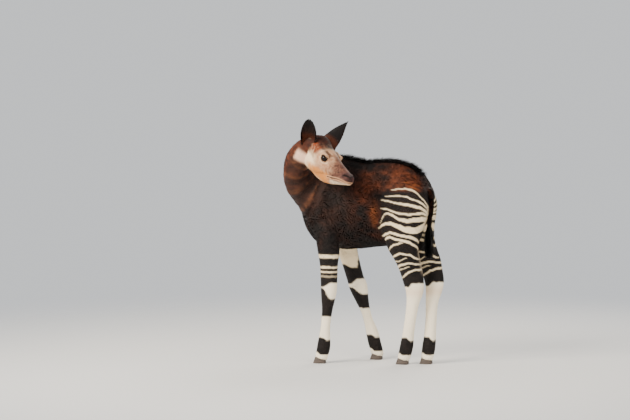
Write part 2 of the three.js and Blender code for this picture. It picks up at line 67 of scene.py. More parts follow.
# Driving sizes of the body, as in the solids
WITHERS = 1070
BELLY = 600
RIB_HALF_WIDTH = 147
TRUNK_BEND = 0.000315
TRUNK_BEND_X = -52
TRUNK_SIDE = 45
HEAD_SCALE = 1.13
HEAD_TURN = 55.8
HEAD_DROP = 30.6
HEAD_ROLL = -7.6
VIEW_TURN = 22
POLL = np.array([-240.0, -170.0, 1183.0])
EYE_RADIUS = 18.5

# Camera of the photograph, about the animal's frame
CAMERA_AZIMUTH = VIEW_TURN
CAMERA_DISTANCE = 11000
CAMERA_HEIGHT = 1500
CAMERA_SIDE = -312
CAMERA_TILT = 3.627
FOCAL_PIXELS = 2115
PHOTO_WIDTH = 630
SENSOR = 36


def unit(vectors):
    """Vectors of length one, row by row."""
    vectors = np.asarray(vectors, float)
    return vectors / np.maximum(np.linalg.norm(vectors, axis=-1, keepdims=True), 1e-9)


def smoothstep(value, low, high):
    """0 below low, 1 above high, smooth between; low may be above high."""
    t = np.clip((value - low) / (high - low), 0, 1)
    return t * t * (3 - 2 * t)


def within(value, low, high, soft):
    """1 between low and high, fading over soft."""
    return smoothstep(value, low - soft, low + soft) * smoothstep(value, high + soft, high - soft)


def mix(a, b, t):
    return a + (b - a) * t


def spine_y(x):
    return TRUNK_SIDE - TRUNK_BEND * (x - TRUNK_BEND_X) ** 2


def head_axes():
    """Directions along the face, to the head's left and out of its top."""
    turn, drop, roll, view = (math.radians(v) for v in (HEAD_TURN, HEAD_DROP, HEAD_ROLL, VIEW_TURN))

    def to_row(p):
        x = p[0] * math.cos(view) - p[1] * math.sin(view)
        y = p[0] * math.sin(view) + p[1] * math.cos(view)
        return np.array([x, y, p[2]])

    face = np.array([math.cos(drop) * math.cos(turn), -math.cos(drop) * math.sin(turn), -math.sin(drop)])
    level = np.array([math.sin(turn), math.cos(turn), 0])
    top = np.cross(face, level)
    left = level * math.cos(roll) + top * math.sin(roll)
    up = -level * math.sin(roll) + top * math.cos(roll)
    return to_row(face), to_row(left), to_row(up)


FACE, LEFT, UP = head_axes()
HEAD_FRAME = np.array([FACE, LEFT, UP])


def head_point(along, left, up):
    return POLL + HEAD_SCALE * (along * FACE + left * LEFT + up * UP)


def head_direction(along, left, up):
    return unit(along * FACE + left * LEFT + up * UP)


def head_local(points):
    """Points in head units: along the face, to its left, up."""
    return (points - POLL) @ HEAD_FRAME.T / HEAD_SCALE


EYES = {"eye_left": head_point(137, 42, -31), "eye_right": head_point(137, -42, -31)}
low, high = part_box("eye_right")
OFFSET = (np.array(low) + np.array(high)) / 2 / MM - EYES["eye_right"]


# Lobes: chains of elliptical sections [x, y, z, half width, half depth]
def smooth_stations(stations, steps):
    stations = np.asarray(stations, float)
    padded = np.vstack([stations[:1], stations, stations[-1:]])
    out = []
    for i in range(len(stations) - 1):
        p0, p1, p2, p3 = padded[i:i + 4]
        for s in range(steps):
            t = s / steps
            slope1 = (p2 - p0) / 2
            slope2 = (p3 - p1) / 2
            out.append((2 * t**3 - 3 * t**2 + 1) * p1 + (t**3 - 2 * t**2 + t) * slope1
                       + (-2 * t**3 + 3 * t**2) * p2 + (t**3 - t**2) * slope2)
    out.append(stations[-1])
    return np.array(out)


class Lobe:
    """Distance to a chain of elliptical sections; the width lies along side."""

    def __init__(self, stations, side=None, steps=3):
        self.path = smooth_stations(stations, steps)
        low, high = self.path[:, :3].min(0), self.path[:, :3].max(0)
        self.centre = (low + high) / 2
        spread = np.linalg.norm(self.path[:, :3] - self.centre, axis=1).max()
        self.reach = spread + self.path[:, 3:].max()
        self.links = []
        for p, q in zip(self.path[:-1], self.path[1:]):
            run = q[:3] - p[:3]
            across = np.array(side, float) if side is not None else unit([run[1], -run[0], 0])
            self.links.append((p, q, run, across, run @ run))

    def distance(self, points):
        best = np.full(len(points), 1e9)
        for p, q, run, across, length2 in self.links:
            off = points - p[:3]
            t = np.clip(off @ run / length2, 0, 1)
            off = off - t[:, None] * run
            s2 = (off @ across) ** 2
            rest2 = np.maximum(np.einsum("ij,ij->i", off, off) - s2, 0)
            a2 = (p[3] + (q[3] - p[3]) * t) ** 2
            b2 = (p[4] + (q[4] - p[4]) * t) ** 2
            level = np.sqrt(s2 / a2 + rest2 / b2)
            slope = np.sqrt(s2 / a2**2 + rest2 / b2**2)
            value = np.where(level < 1e-6, -np.sqrt(np.minimum(a2, b2)),
                             level * (level - 1) / np.maximum(slope, 1e-9))
            best = np.minimum(best, value)
        return best


def blend(a, b, size):
    """The two distances joined with a fillet of about size."""
    h = np.maximum(size - np.abs(a - b), 0) / size
    return np.minimum(a, b) - h * h * size / 4


def trunk_lobe(rows):
    return Lobe([[x, spine_y(x), z, a, b] for x, z, a, b in rows], (0, 1, 0))


def shoulder(hand):
    return Lobe([
        [-225, spine_y(-225) + hand * 50, 965, 34, 60],
        [-262, spine_y(-262) + hand * 74, 850, 42, 74],
        [-296, spine_y(-296) + hand * 82, 750, 46, 64],
        [-240, spine_y(-240) + hand * 82, 670, 40, 58],
    ], (0, 1, 0))


def haunch(hand):
    return Lobe([
        [190, spine_y(190) + hand * 52, 925, 50, 78],
        [210, spine_y(210) + hand * 66, 830, 60, 104],
        [182, spine_y(182) + hand * 74, 720, 56, 100],
    ], (0, 1, 0))


def head_lobe(rows, sideways=0):
    return Lobe([
        [*head_point(along, sideways, up), a * HEAD_SCALE, b * HEAD_SCALE] for along, up, a, b in rows
    ], LEFT)


def cheek(hand):
    return head_lobe([[50, -96, 18, 42], [95, -88, 18, 36], [140, -78, 14, 26]], hand * 36)


def brow(hand):
    return head_lobe([[104, -20, 12, 12], [138, -21, 11, 11]], hand * 41)


barrel = trunk_lobe([
    [-288, BELLY + 165, 82, 96],
    [-235, BELLY + 176, 116, 172],
    [-140, BELLY + 193, 143, 201],
    [-40, BELLY + 203, RIB_HALF_WIDTH, 200],
    [60, BELLY + 212, 142, 193],
    [125, BELLY + 238, 122, 165],
    [178, BELLY + 265, 92, 108],
])
back_line = trunk_lobe([
    [-240, WITHERS - 92, 58, 92],
    [-150, WITHERS - 104, 70, 96],
    [-50, WITHERS - 112, 82, 92],
    [40, WITHERS - 106, 88, 94],
    [130, WITHERS - 112, 90, 92],
    [190, WITHERS - 132, 80, 82],
    [226, WITHERS - 168, 60, 72],
])
breast = trunk_lobe([
    [-318, BELLY + 240, 56, 74],
    [-336, BELLY + 165, 52, 66],
    [-302, BELLY + 90, 44, 62],
])
LEGS = {
    "fore_left": {"foot": (-268, -106), "heading": 12, "hand": -1, "stations": [
        [-250, -70, 680, 42, 60], [-228, -80, 600, 44, 62], [-224, -85, 520, 38, 51],
        [-222, -88, 436, 35, 47], [-222, -90, 384, 35, 45], [-226, -91, 331, 30, 38],
        [-230, -93, 279, 25, 30], [-238, -96, 200, 23, 27], [-242, -98, 148, 26, 31],
        [-246, -99, 95, 31, 37], [-252, -101, 60, 31, 36], [-258, -103, 34, 29, 35],
    ]},
    "fore_right": {"foot": (-44, 144), "heading": 12, "hand": 1, "stations": [
        [-232, 78, 690, 42, 60], [-196, 88, 610, 44, 58], [-174, 96, 528, 38, 51],
        [-148, 107, 428, 36, 48], [-134, 113, 386, 37, 51], [-115, 121, 315, 30, 37],
        [-99, 127, 262, 25, 27], [-84, 132, 205, 24, 27], [-67, 137, 150, 28, 34],
        [-54, 140, 95, 31, 36], [-44, 142, 60, 31, 35], [-38, 144, 34, 29, 35],
    ]},
    "hind_left": {"foot": (148, 15), "heading": 8, "hand": -1, "stations": [
        [172, -50, 720, 58, 105], [170, -52, 655, 54, 92], [180, -41, 602, 46, 76],
        [191, -20, 549, 41, 67], [201, -2, 496, 37, 62], [209, 12, 443, 35, 58],
        [214, 20, 390, 33, 50], [206, 20, 335, 28, 38], [198, 19, 280, 25, 33],
        [190, 18, 225, 25, 32], [180, 17, 154, 28, 33], [173, 16, 101, 32, 37],
        [164, 15, 60, 31, 36], [156, 15, 34, 29, 34],
    ]},
    "hind_right": {"foot": (258, 76), "heading": 8, "hand": 1, "stations": [
        [190, 92, 720, 58, 105], [210, 100, 640, 52, 88], [240, 110, 575, 44, 72],
        [262, 117, 530, 40, 64], [277, 118, 480, 36, 58], [288, 118, 431, 34, 54],
        [288, 112, 384, 32, 46], [281, 105, 332, 28, 37], [279, 101, 280, 25, 33],
        [278, 97, 228, 25, 32], [276, 89, 150, 28, 34], [272, 83, 95, 32, 37],
        [268, 79, 60, 31, 36], [264, 76, 34, 29, 34],
    ]},
}
LEG_LOBES = {name: Lobe(leg["stations"], (0, 1, 0)) for name, leg in LEGS.items()}
neck = Lobe([
    [-190, 34, 905, 92, 150], [-275, 12, 885, 92, 142], [-350, -20, 905, 86, 114],
    [-392, -72, 965, 78, 96], [-390, -120, 1035, 70, 83], [-345, -158, 1093, 62, 72],
    [-290, -168, 1130, 56, 66], [-235, -178, 1140, 50, 58],
])
skull = head_lobe([
    [-2, -48, 48, 44], [50, -46, 57, 49], [105, -50, 57, 51], [150, -54, 46, 50],
    [200, -55, 36, 46], [250, -49, 32, 37], [280, -42, 31, 28], [296, -39, 27, 22],
])
jaw = head_lobe([
    [48, -106, 42, 47], [100, -110, 38, 43], [150, -107, 31, 38], [200, -93, 25, 30],
    [250, -70, 21, 20], [280, -56, 18, 14], [293, -51, 15, 11],
])
EARS = {
    "ear_right": {
        "root": head_point(2, -45, -44), "along": head_direction(-0.04, -0.4, 0.9),
        "opening": head_direction(0.45, -0.86, 0.15),
        "length": 154, "half_width": 48, "start": 0.26, "power": 0.62,
    },
    "ear_left": {
        "root": head_point(8, 44, -26), "along": head_direction(-0.25, 0.64, 0.72),
        "opening": head_direction(-0.2, 0.95, 0),
        "length": 170, "half_width": 54, "start": 0.45, "power": 1.3,
    },
}


def ear_base(name):
    """The root of an ear, rising out of the skull behind the ear's leaf."""
    root, along, opening = (EARS[name][key] for key in ("root", "along", "opening"))
    back = root - 14 * opening
    return Lobe([[*(back - 10 * along), 24, 24], [*(back + 26 * along), 13, 13]], None, 2)


tail_core = Lobe([
    [270, 12, 915, 16, 16], [303, -2, 900, 14, 14], [318, -20, 840, 11, 11], [314, -34, 760, 10.5, 10.5],
    [310, -38, 700, 10, 10], [309, -34, 640, 9, 9], [311, -29, 600, 7, 7],
], (0, 1, 0))
PARTS = {  # lobes of each part, with the fillet that joins each to those before it
    "trunk": [(barrel, 1), (back_line, 60), (breast, 40), (shoulder(-1), 36), (shoulder(1), 36),
              (haunch(-1), 36), (haunch(1), 36)],
    **{name: [(leg, 24)] for name, leg in LEG_LOBES.items()},
    "neck": [(neck, 50)],
    "head": [(skull, 24), (jaw, 22), (cheek(-1), 14), (cheek(1), 14), (brow(-1), 12), (brow(1), 12),
             (ear_base("ear_right"), 22), (ear_base("ear_left"), 22)],
}
HOOF_HEIGHT = 36
HOOF_HEEL_HEIGHT = 20
CLAW_LENGTH = 68
CORONET_OVERLAP = 2.5
PASTERN_HEIGHT = 90  # no coronet lies above this


def coronet_distance(points):
    """Distance below the sloping edge where each leg ends on its hooves; negative above it."""
    out = np.full(len(points), -1e9)
    low = points[:, 2] < PASTERN_HEIGHT
    nearest = np.full(low.sum(), 1e9)
    value = np.zeros(low.sum())
    for leg in LEGS.values():
        heading = math.radians(leg["heading"])
        forward = np.array([-math.cos(heading), -math.sin(heading)])
        off = points[low][:, :2] - np.array(leg["foot"])
        rise = HOOF_HEIGHT - HOOF_HEEL_HEIGHT
        edge = (HOOF_HEIGHT + HOOF_HEEL_HEIGHT) / 2 + rise * (off @ forward) / (CLAW_LENGTH * 0.8)
        away = np.linalg.norm(off, axis=1)
        value = np.where(away < nearest, edge - CORONET_OVERLAP - points[low][:, 2], value)
        nearest = np.minimum(nearest, away)
    out[low] = value
    return out


def lobes_distance(points, lobes, start=None):
    """Distance to a list of (lobe, fillet), joined onto start."""
    d = np.full(len(points), 1e9) if start is None else start.copy()
    for lobe, fillet in lobes:
        nearest = np.linalg.norm(points - lobe.centre, axis=1) - lobe.reach
        near = np.flatnonzero(nearest < d + fillet)
        if len(near):
            other = lobe.distance(points[near])
            d[near] = np.where(d[near] > 1e8, other, blend(d[near], other, fillet))
    return d


BODY_COAT = 4.0
LEG_COAT = 2.2  # also the coat of the head behind the muzzle
MUZZLE_COAT = 1.4


def coat_depth(points):
    """How far the skin lies inside the outer surface of the coat."""
    along = head_local(points)[:, 0]
    _, y, z = points.T
    in_head = smoothstep(along, -30, 30) * smoothstep(z, 880, 940) * smoothstep(y, -60, -120)
    body = mix(BODY_COAT, LEG_COAT, smoothstep(z, 680, 560))
    face = mix(LEG_COAT, MUZZLE_COAT, smoothstep(along, 200, 300))
    return mix(body, face, in_head)


# Relief of the head, in head units
MOUTH = [
    (188, 28, -95), (222, 30, -80), (256, 31, -64), (286, 28, -54),
    (303, 21, -50), (313, 10, -48), (316, 0, -47),
]
MOUTH_DEPTHS = [1.2, 1.8, 2.2, 2.4, 2.4, 2.2, 2.0]
NOSTRIL = [(279, 24, -31), (292, 21, -24), (301, 15, -23)]
EYE_OPENING_LENGTH = 18.5
EYE_OPENING_HEIGHT = 10.5
LID_THICKNESS = 2.4
LOWER_LID_SHARE = 0.86  # height of the lower half of the opening, as a share of the upper's
SOCKET_DEPTH = 1.2


def tube_distance(points, path, radius):
    """Distance to a tube along a path of (x, y, z), radius at its stations or the same all along."""
    stations = [[*p, r, r] for p, r in zip(path, np.broadcast_to(radius, len(path)))]
    return Lobe(stations, (0, 0, 1), 4).distance(points)


def eye_frame(name):
    """Axes of an eye: along its long axis to the nose, upward, and outward."""
    hand = 1 if name == "eye_left" else -1
    out = head_direction(0.30, hand * 0.93, 0.18)
    corner = head_direction(0.93, hand * -0.30, -0.22)
    up = unit(np.cross(out, corner))
    if up @ UP < 0:
        up = -up
    corner = unit(corner - (corner @ out) * out)
    up = unit(up - (up @ out) * out - (up @ corner) * corner)
    return corner, up, out


def mirrored_head(points):
    """Points in head units, with those of its right side moved to the left."""
    mirrored = head_local(points)
    mirrored[:, 1] = np.abs(mirrored[:, 1])
    return mirrored


def moved(path, along, left, up):
    return [(a + along, l + left, u + up) for a, l, u in path]


def carve_head(points, d):
    """Adds lids, nostrils, the mouth and the finer relief to the distance d."""
    near = np.flatnonzero(np.linalg.norm(points - head_point(160, 0, -50), axis=1) < 330)
    if not len(near):
        return d
    p = points[near]
    v = d[near]
    mirrored = mirrored_head(p)
    scale = HEAD_SCALE
    # Ridge below the eye, hollow before it, and the edge of the jaw
    ridge = Lobe([[92, 52, -66, 6, 6], [145, 43, -66, 6, 5], [190, 31, -62, 4, 4]], (0, 0, 1), 3)
    v = blend(v, ridge.distance(mirrored) * scale, 12)
    hollow = Lobe([[166, 50, -44, 9, 9], [190, 43, -48, 8, 8]], (0, 0, 1), 2)
    v = -blend(-v, hollow.distance(mirrored) * scale, 14)
    # Lips: two soft rolls with the mouth's line between them
    v = blend(v, tube_distance(mirrored, moved(MOUTH[1:-1], -3, -5, 5), 5.5) * scale, 8)
    v = blend(v, tube_distance(mirrored, moved(MOUTH[1:-1], -5, -5, -7), 5.0) * scale, 8)
    v = -blend(-v, tube_distance(mirrored, MOUTH, MOUTH_DEPTHS) * scale, 3)
    # Nostrils: a rim and a slit
    v = blend(v, tube_distance(mirrored, moved(NOSTRIL, 0, -1, 2), 6.5) * scale, 8)
    v = -blend(-v, tube_distance(mirrored, NOSTRIL, [2.0, 3.6, 3.0]) * scale, 3)
    # Lids over the eyeball, with an almond opening
    for name, centre in EYES.items():
        corner, up, out = eye_frame(name)
        off = p - centre
        reach = np.linalg.norm(off, axis=1)
        a, b, c = off @ corner, off @ up, off @ out
        v = blend(v, np.where(c > -4, reach - EYE_RADIUS - LID_THICKNESS, 50.0), 9)
        height = EYE_OPENING_HEIGHT * np.maximum(1 - (a / EYE_OPENING_LENGTH) ** 2, 0) ** 0.75
        middle = 1.0 + 0.06 * a
        lid = height * np.where(b > middle, 1.0, LOWER_LID_SHARE)
        opening = np.where(c > 0, np.abs(b - middle) - lid, 30.0)
        opening = np.maximum(opening, np.abs(a) - EYE_OPENING_LENGTH)
        v = np.maximum(v, np.minimum(-opening, reach - (EYE_RADIUS - SOCKET_DEPTH)))
    d = d.copy()
    d[near] = v
    return d


NECK_FOLD_DEPTH = 3.6
NECK_STEP = 30  # mm from one point of the neck's path to the next, on average
neck_tangents = unit(np.gradient(neck.path[:, :3], axis=0))


def neck_place(points):
    """Place along the neck's path, the vector off it, and the nearest point's index."""
    path = neck.path[:, :3]
    index = np.argmin(((points[:, None, :] - path[None]) ** 2).sum(2), axis=1)
    off = points - path[index]
    forward = np.einsum("ij,ij->i", off, neck_tangents[index])
    return index + forward / NECK_STEP, off - forward[:, None] * neck_tangents[index], index


def neck_folds(points):
    """Soft skin folds on the inner side of the neck's bend, from -1 to 1."""
    amount = np.zeros(len(points))
    near = np.flatnonzero((points[:, 0] < -180) & (points[:, 2] > 760) & (points[:, 1] < 120))
    if len(near):
        place, off, _ = neck_place(points[near])
        inner = smoothstep(off @ unit([0.45, -0.75, -0.4]), 8, 50)
        amount[near] = np.sin(place * 2.3 + 0.6) * inner * within(place, 3.5, 16.5, 1.5)
    return amount


def skin_distance(points, detailed=True):
    """Distance to the skin."""
    d = np.full(len(points), 1e9)
    for lobes in PARTS.values():
        d = lobes_distance(points, lobes, d)
    d = d + coat_depth(points)
    d = blend(d, tail_core.distance(points), 10)
    d = np.maximum(d, coronet_distance(points))
    if detailed:
        d = carve_head(points, d)
        d = d - NECK_FOLD_DEPTH * neck_folds(points)
    return d


def in_chunks(function, points, size=60000):
    return np.concatenate([function(points[i:i + size]) for i in range(0, len(points), size)])


# The skin: one closed mesh on the zero surface of its distance
COARSE_CELLS = 4
CELL = 9.2


def surface_mesh(distance, low, high, cell, coarse):
    """Vertices and quads of the zero surface, one vertex in each crossed cell."""
    big = cell * coarse
    count = np.ceil((high - low) / big).astype(int)
    axes = [low[i] + big * np.arange(count[i] + 1) for i in range(3)]
    grid = np.stack(np.meshgrid(*axes, indexing="ij"), -1).reshape(-1, 3)
    rough = in_chunks(distance, grid).reshape(count + 1)
    fine_axes = [low[i] + cell * np.arange(count[i] * coarse + 1) for i in range(3)]
    pick = [np.round(np.arange(count[i] * coarse + 1) / coarse).astype(int) for i in range(3)]
    value = rough[np.ix_(*pick)].copy()
    close = np.argwhere(np.abs(value) < big * 1.25)
    points = np.stack([fine_axes[i][close[:, i]] for i in range(3)], -1)
    value[tuple(close.T)] = in_chunks(distance, points)
    inside = value < 0
    corners = [inside[i:inside.shape[0] - 1 + i, j:inside.shape[1] - 1 + j, k:inside.shape[2] - 1 + k]
               for i in (0, 1) for j in (0, 1) for k in (0, 1)]
    total = np.sum(corners, axis=0)
    crossed = (total > 0) & (total < 8)
    number = np.full(crossed.shape, -1)
    cells = np.argwhere(crossed)
    number[crossed] = np.arange(len(cells))
    vertices = np.stack([fine_axes[i][cells[:, i]] + cell / 2 for i in range(3)], -1)
    quads = []
    for axis in range(3):
        b, c = (axis + 1) % 3, (axis + 2) % 3
        first = np.take(inside, np.arange(inside.shape[axis] - 1), axis)
        second = np.take(inside, np.arange(1, inside.shape[axis]), axis)
        edges = np.argwhere(first != second)
        edges = edges[(edges[:, b] > 0) & (edges[:, c] > 0)]
        edges = edges[(edges[:, b] < inside.shape[b] - 1) & (edges[:, c] < inside.shape[c] - 1)]
        around = []
        for db, dc in ((1, 1), (0, 1), (0, 0), (1, 0)):
            at = edges.copy()
            at[:, b] -= db
            at[:, c] -= dc
            around.append(number[tuple(at.T)])
        quad = np.stack(around, -1)
        turned = ~first[tuple(edges.T)]
        quad[turned] = quad[turned][:, ::-1]
        quads.append(quad)
    return vertices, np.concatenate(quads)


def gradient(distance, points, step=0.8):
    return np.stack([
        distance(points + step * axis) - distance(points - step * axis) for axis in np.eye(3)
    ], -1) / (2 * step)


def settle(distance, points, rounds=2, limit=4.0):
    """Moves points onto the zero surface."""
    for _ in range(rounds):
        value = distance(points)
        slope = gradient(distance, points)
        size2 = np.maximum((slope**2).sum(1), 0.15)
        move = -value[:, None] * slope / size2[:, None]
        length = np.linalg.norm(move, axis=1, keepdims=True)
        points = points + move * np.minimum(1, limit / np.maximum(length, 1e-9))
    return points


def subdivided(vertices, faces, wanted):
    """Splits the faces where wanted(centres) is true into four, keeping the mesh closed."""
    mesh = bmesh.new()
    made = [mesh.verts.new(v) for v in vertices]
    for face in faces:
        mesh.faces.new([made[i] for i in face])
    mesh.faces.ensure_lookup_table()
    centres = np.array([face.calc_center_median() for face in mesh.faces])
    chosen = np.flatnonzero(wanted(centres))
    edges = list({edge for i in chosen for edge in mesh.faces[i].edges})
    bmesh.ops.subdivide_edges(mesh, edges=edges, cuts=1, use_grid_fill=True)
    bmesh.ops.triangulate(mesh, faces=[f for f in mesh.faces if len(f.verts) > 4])
    mesh.verts.index_update()
    vertices = np.array([v.co for v in mesh.verts])
    faces = [[v.index for v in f.verts] for f in mesh.faces]
    mesh.free()
    return vertices, faces


def relaxed(vertices, faces, share=0.6):
    """Moves each vertex toward the middle of its neighbours."""
    pairs = np.concatenate([np.array([(f[i], f[i - 1]) for f in faces for i in range(len(f))])])
    total = np.zeros_like(vertices)
    count = np.zeros(len(vertices))
    for a, b in ((0, 1), (1, 0)):
        np.add.at(total, pairs[:, a], vertices[pairs[:, b]])
        np.add.at(count, pairs[:, a], 1)
    return vertices + share * (total / count[:, None] - vertices)


SKIN_MARGIN = 10  # from the solids' box to the edge of the grid
HEAD_MIDDLE = head_point(150, 0, -60)
FINE_REACH = 225
HEAD_REACH = 240
FOLDS_MIDDLE = head_point(0, 0, -60)
FOLDS_REACH = 420
MUZZLE_MIDDLE = (265, 20, -50)
MUZZLE_REACH = 110
BAND_EDGES = ((30, 70), (120, 150), (235, 290), (395, 445))  # heights where the legs' white begins or ends


def in_reach(points, middle, reach):
    return np.linalg.norm(points - middle, axis=1) < reach


def near_eye(points, reach):
    return np.min([np.linalg.norm(points - c, axis=1) for c in EYES.values()], axis=0) < reach


def near_opening(points, reach):
    """Points close to the mouth's line or a nostril."""
    mirrored = mirrored_head(points)
    close = in_reach(mirrored, MUZZLE_MIDDLE, MUZZLE_REACH)
    far = np.full(len(points), 99.0)
    paths = [tube_distance(mirrored[close], MOUTH, 1), tube_distance(mirrored[close], NOSTRIL, 3)]
    far[close] = np.minimum(*paths) * HEAD_SCALE
    return far < reach


def on_head(points):
    return in_reach(points, HEAD_MIDDLE, FINE_REACH) & (head_local(points)[:, 0] > -5)


def striped(points):
    """Where the coat has narrow stripes or bands, which need a finer skin."""
    x, y, z = points.T
    haunch_side = (x > 55) & (z > 440) & (z < 935) & (np.abs(y - spine_y(x)) > 40)
    fore_bands = (x < 55) & (z > 370) & (z < 600)
    edges = np.any([(z > low) & (z < high) for low, high in BAND_EDGES], axis=0)
    return haunch_side | fore_bands | edges


def on_muzzle_or_lids(points):
    muzzle = (head_local(points)[:, 0] > 188) & in_reach(points, HEAD_MIDDLE, FINE_REACH)
    return muzzle | near_eye(points, 48)


def at_lids_or_openings(points):
    return near_eye(points, 30) | near_opening(points, 9)


def settle_where(vertices, chosen, rounds):
    """Moves the chosen vertices onto the detailed skin."""
    vertices[chosen] = in_chunks(lambda p: settle(skin_distance, p, rounds), vertices[chosen])
    return vertices


def skin_mesh():
    """The skin, coarse at first, then finer in steps where it has detail."""
    def plain(points):
        return skin_distance(points, False)

    def settled(points, rounds):
        return in_chunks(lambda p: settle(plain, p, rounds), points)

    low = (np.array(CAD_BOX[0]) / MM - OFFSET) - SKIN_MARGIN
    high = (np.array(CAD_BOX[1]) / MM - OFFSET) + SKIN_MARGIN
    vertices, quads = surface_mesh(plain, low, high, CELL, COARSE_CELLS)
    faces = quads.tolist()
    vertices = settled(relaxed(settled(vertices, 2), faces), 1)
    for wanted in (on_head, striped, on_muzzle_or_lids, at_lids_or_openings):
        vertices, faces = subdivided(vertices, faces, wanted)
        if wanted is striped:
            vertices = settled(vertices, 1)
        else:
            vertices = settle_where(vertices, in_reach(vertices, HEAD_MIDDLE, HEAD_REACH), 2)
    return settle_where(vertices, in_reach(vertices, FOLDS_MIDDLE, FOLDS_REACH), 1), faces


# Ears: a leaf rolled to a funnel at its root, with an outer and an inner sheet
EAR_ROWS = 34
EAR_COLUMNS = 24
EAR_COAT = 1.6
EAR_WALL = 3.4


def ear_leaf(name, t, column, inset):
    """Points of an ear at t along it and column from -1 to 1 across it, inset from its outer face."""
    ear = EARS[name]
    along = ear["along"]
    across = unit(np.cross(ear["opening"], along))
    facing = np.cross(along, across)
    reach = ear["half_width"] * np.sin(np.pi * mix(ear["start"], 0.985, t) ** 1.1) ** ear["power"]
    curl = mix(1.9, 0.45, t**0.55)
    rim = np.minimum(curl, np.pi / 2)
    angle = curl * column
    radius = reach / np.sin(rim)
    wall = np.minimum(inset, radius * 0.4)
    depth = radius * (np.cos(rim) * 0.5 - np.cos(angle) + 0.35) + wall * np.cos(angle)
    return (ear["root"] + (ear["length"] * t)[..., None] * along
            + ((radius - wall) * np.sin(angle))[..., None] * across + depth[..., None] * facing)


def ear_mesh(name):
    """Closed sheet of an ear: vertices, faces, and its own place (t, column, inner) at each vertex."""
    rows = np.linspace(0, 0.995, EAR_ROWS + 1)
    columns = np.linspace(-1, 1, EAR_COLUMNS + 1)
    t, column = np.meshgrid(rows, columns, indexing="ij")
    outer = ear_leaf(name, t, column * 0.985, np.full(t.shape, EAR_COAT))
    inner = ear_leaf(name, t, column * 0.985, np.full(t.shape, EAR_WALL))
    vertices = np.concatenate([outer.reshape(-1, 3), inner.reshape(-1, 3)])
    width = EAR_COLUMNS + 1
    shift = width * (EAR_ROWS + 1)
    faces = []
    for r in range(EAR_ROWS):
        for c in range(EAR_COLUMNS):
            a, b = r * width + c, r * width + c + 1
            faces.append([a, b, b + width, a + width])
            faces.append([shift + a + width, shift + b + width, shift + b, shift + a])
        for c, turn in ((0, 1), (EAR_COLUMNS, -1)):
            a = r * width + c
            faces.append([a, a + width, a + width + shift, a + shift][::turn])
    for r, turn in ((0, -1), (EAR_ROWS, 1)):
        for c in range(EAR_COLUMNS):
            a = r * width + c
            faces.append([a, a + 1, a + 1 + shift, a + shift][::-turn])
    place = np.stack([np.tile(t.ravel(), 2), np.tile(column.ravel(), 2), np.repeat([0, 1], t.size)], -1)
    return vertices, faces, place


# Values that vary smoothly and at random from place to place
def noise(points, size, seed=0):
    """Smooth random values from -1 to 1, changing over about size."""
    cell = points / size + seed * 7.31
    base = np.floor(cell)
    f = cell - base
    f = f * f * (3 - 2 * f)
    total = np.zeros(len(points))
    for corner in np.ndindex(2, 2, 2):
        hashed = np.sin((base + corner) @ [127.1, 311.7, 74.7] + seed * 19.7) * 43758.5453
        weight = np.prod(np.where(np.array(corner) == 1, f, 1 - f), axis=1)
        total += weight * (hashed - np.floor(hashed))
    return total * 2 - 1


# Markings. Colours are as seen, 0 to 255
def seen(red, green, blue):
    """A colour as seen, made linear."""
    c = np.array([red, green, blue]) / 255
    return np.where(c < 0.04, c / 12.92, ((c + 0.055) / 1.055) ** 2.4)


BLACK = seen(20, 14, 12)
DARK_BROWN = seen(42, 23, 16)
RED_BROWN = seen(92, 44, 22)
ORANGE_BROWN = seen(150, 80, 34)
CREAM = seen(250, 228, 188)
WHITE = seen(254, 240, 214)
GREY = seen(168, 150, 126)
CHEEK = seen(248, 218, 180)
MID_FACE = seen(168, 118, 84)
TAN = seen(200, 124, 48)
TEMPLE = seen(150, 112, 82)
MUZZLE = seen(92, 56, 44)
NOSE = seen(62, 36, 34)
FOREHEAD = seen(46, 20, 12)
RUST = seen(120, 50, 18)
FRINGE_BROWN = seen(58, 36, 26)
# painted highlight on the ridges of the neck's folds
PAINTED_FOLD_HIGHLIGHT = seen(150, 92, 56)
NECK_PATCH = seen(236, 194, 166)
LIP = seen(206, 156, 118)
EYE_RIM = seen(26, 17, 14)
IRIS = seen(26, 14, 9)
PUPIL = seen(9, 6, 5)
# dark skin inside the mouth's line and the nostrils, with painted shade
MOUTH_DARK = seen(34, 22, 20)
HORN_DARK = seen(48, 40, 36)
HORN_LIGHT = seen(92, 78, 68)

# Parts of the body, in the order of PARTS, then the tail and the ears
TRUNK, FORE_LEFT, FORE_RIGHT, HIND_LEFT, HIND_RIGHT, NECK, HEAD, TAIL, EAR_LEFT, EAR_RIGHT = range(10)
LEG_LABELS = dict(zip(LEGS, (FORE_LEFT, FORE_RIGHT, HIND_LEFT, HIND_RIGHT)))

STRIPE_SOFTNESS = 1.6  # half of what a stripe's edge fades over

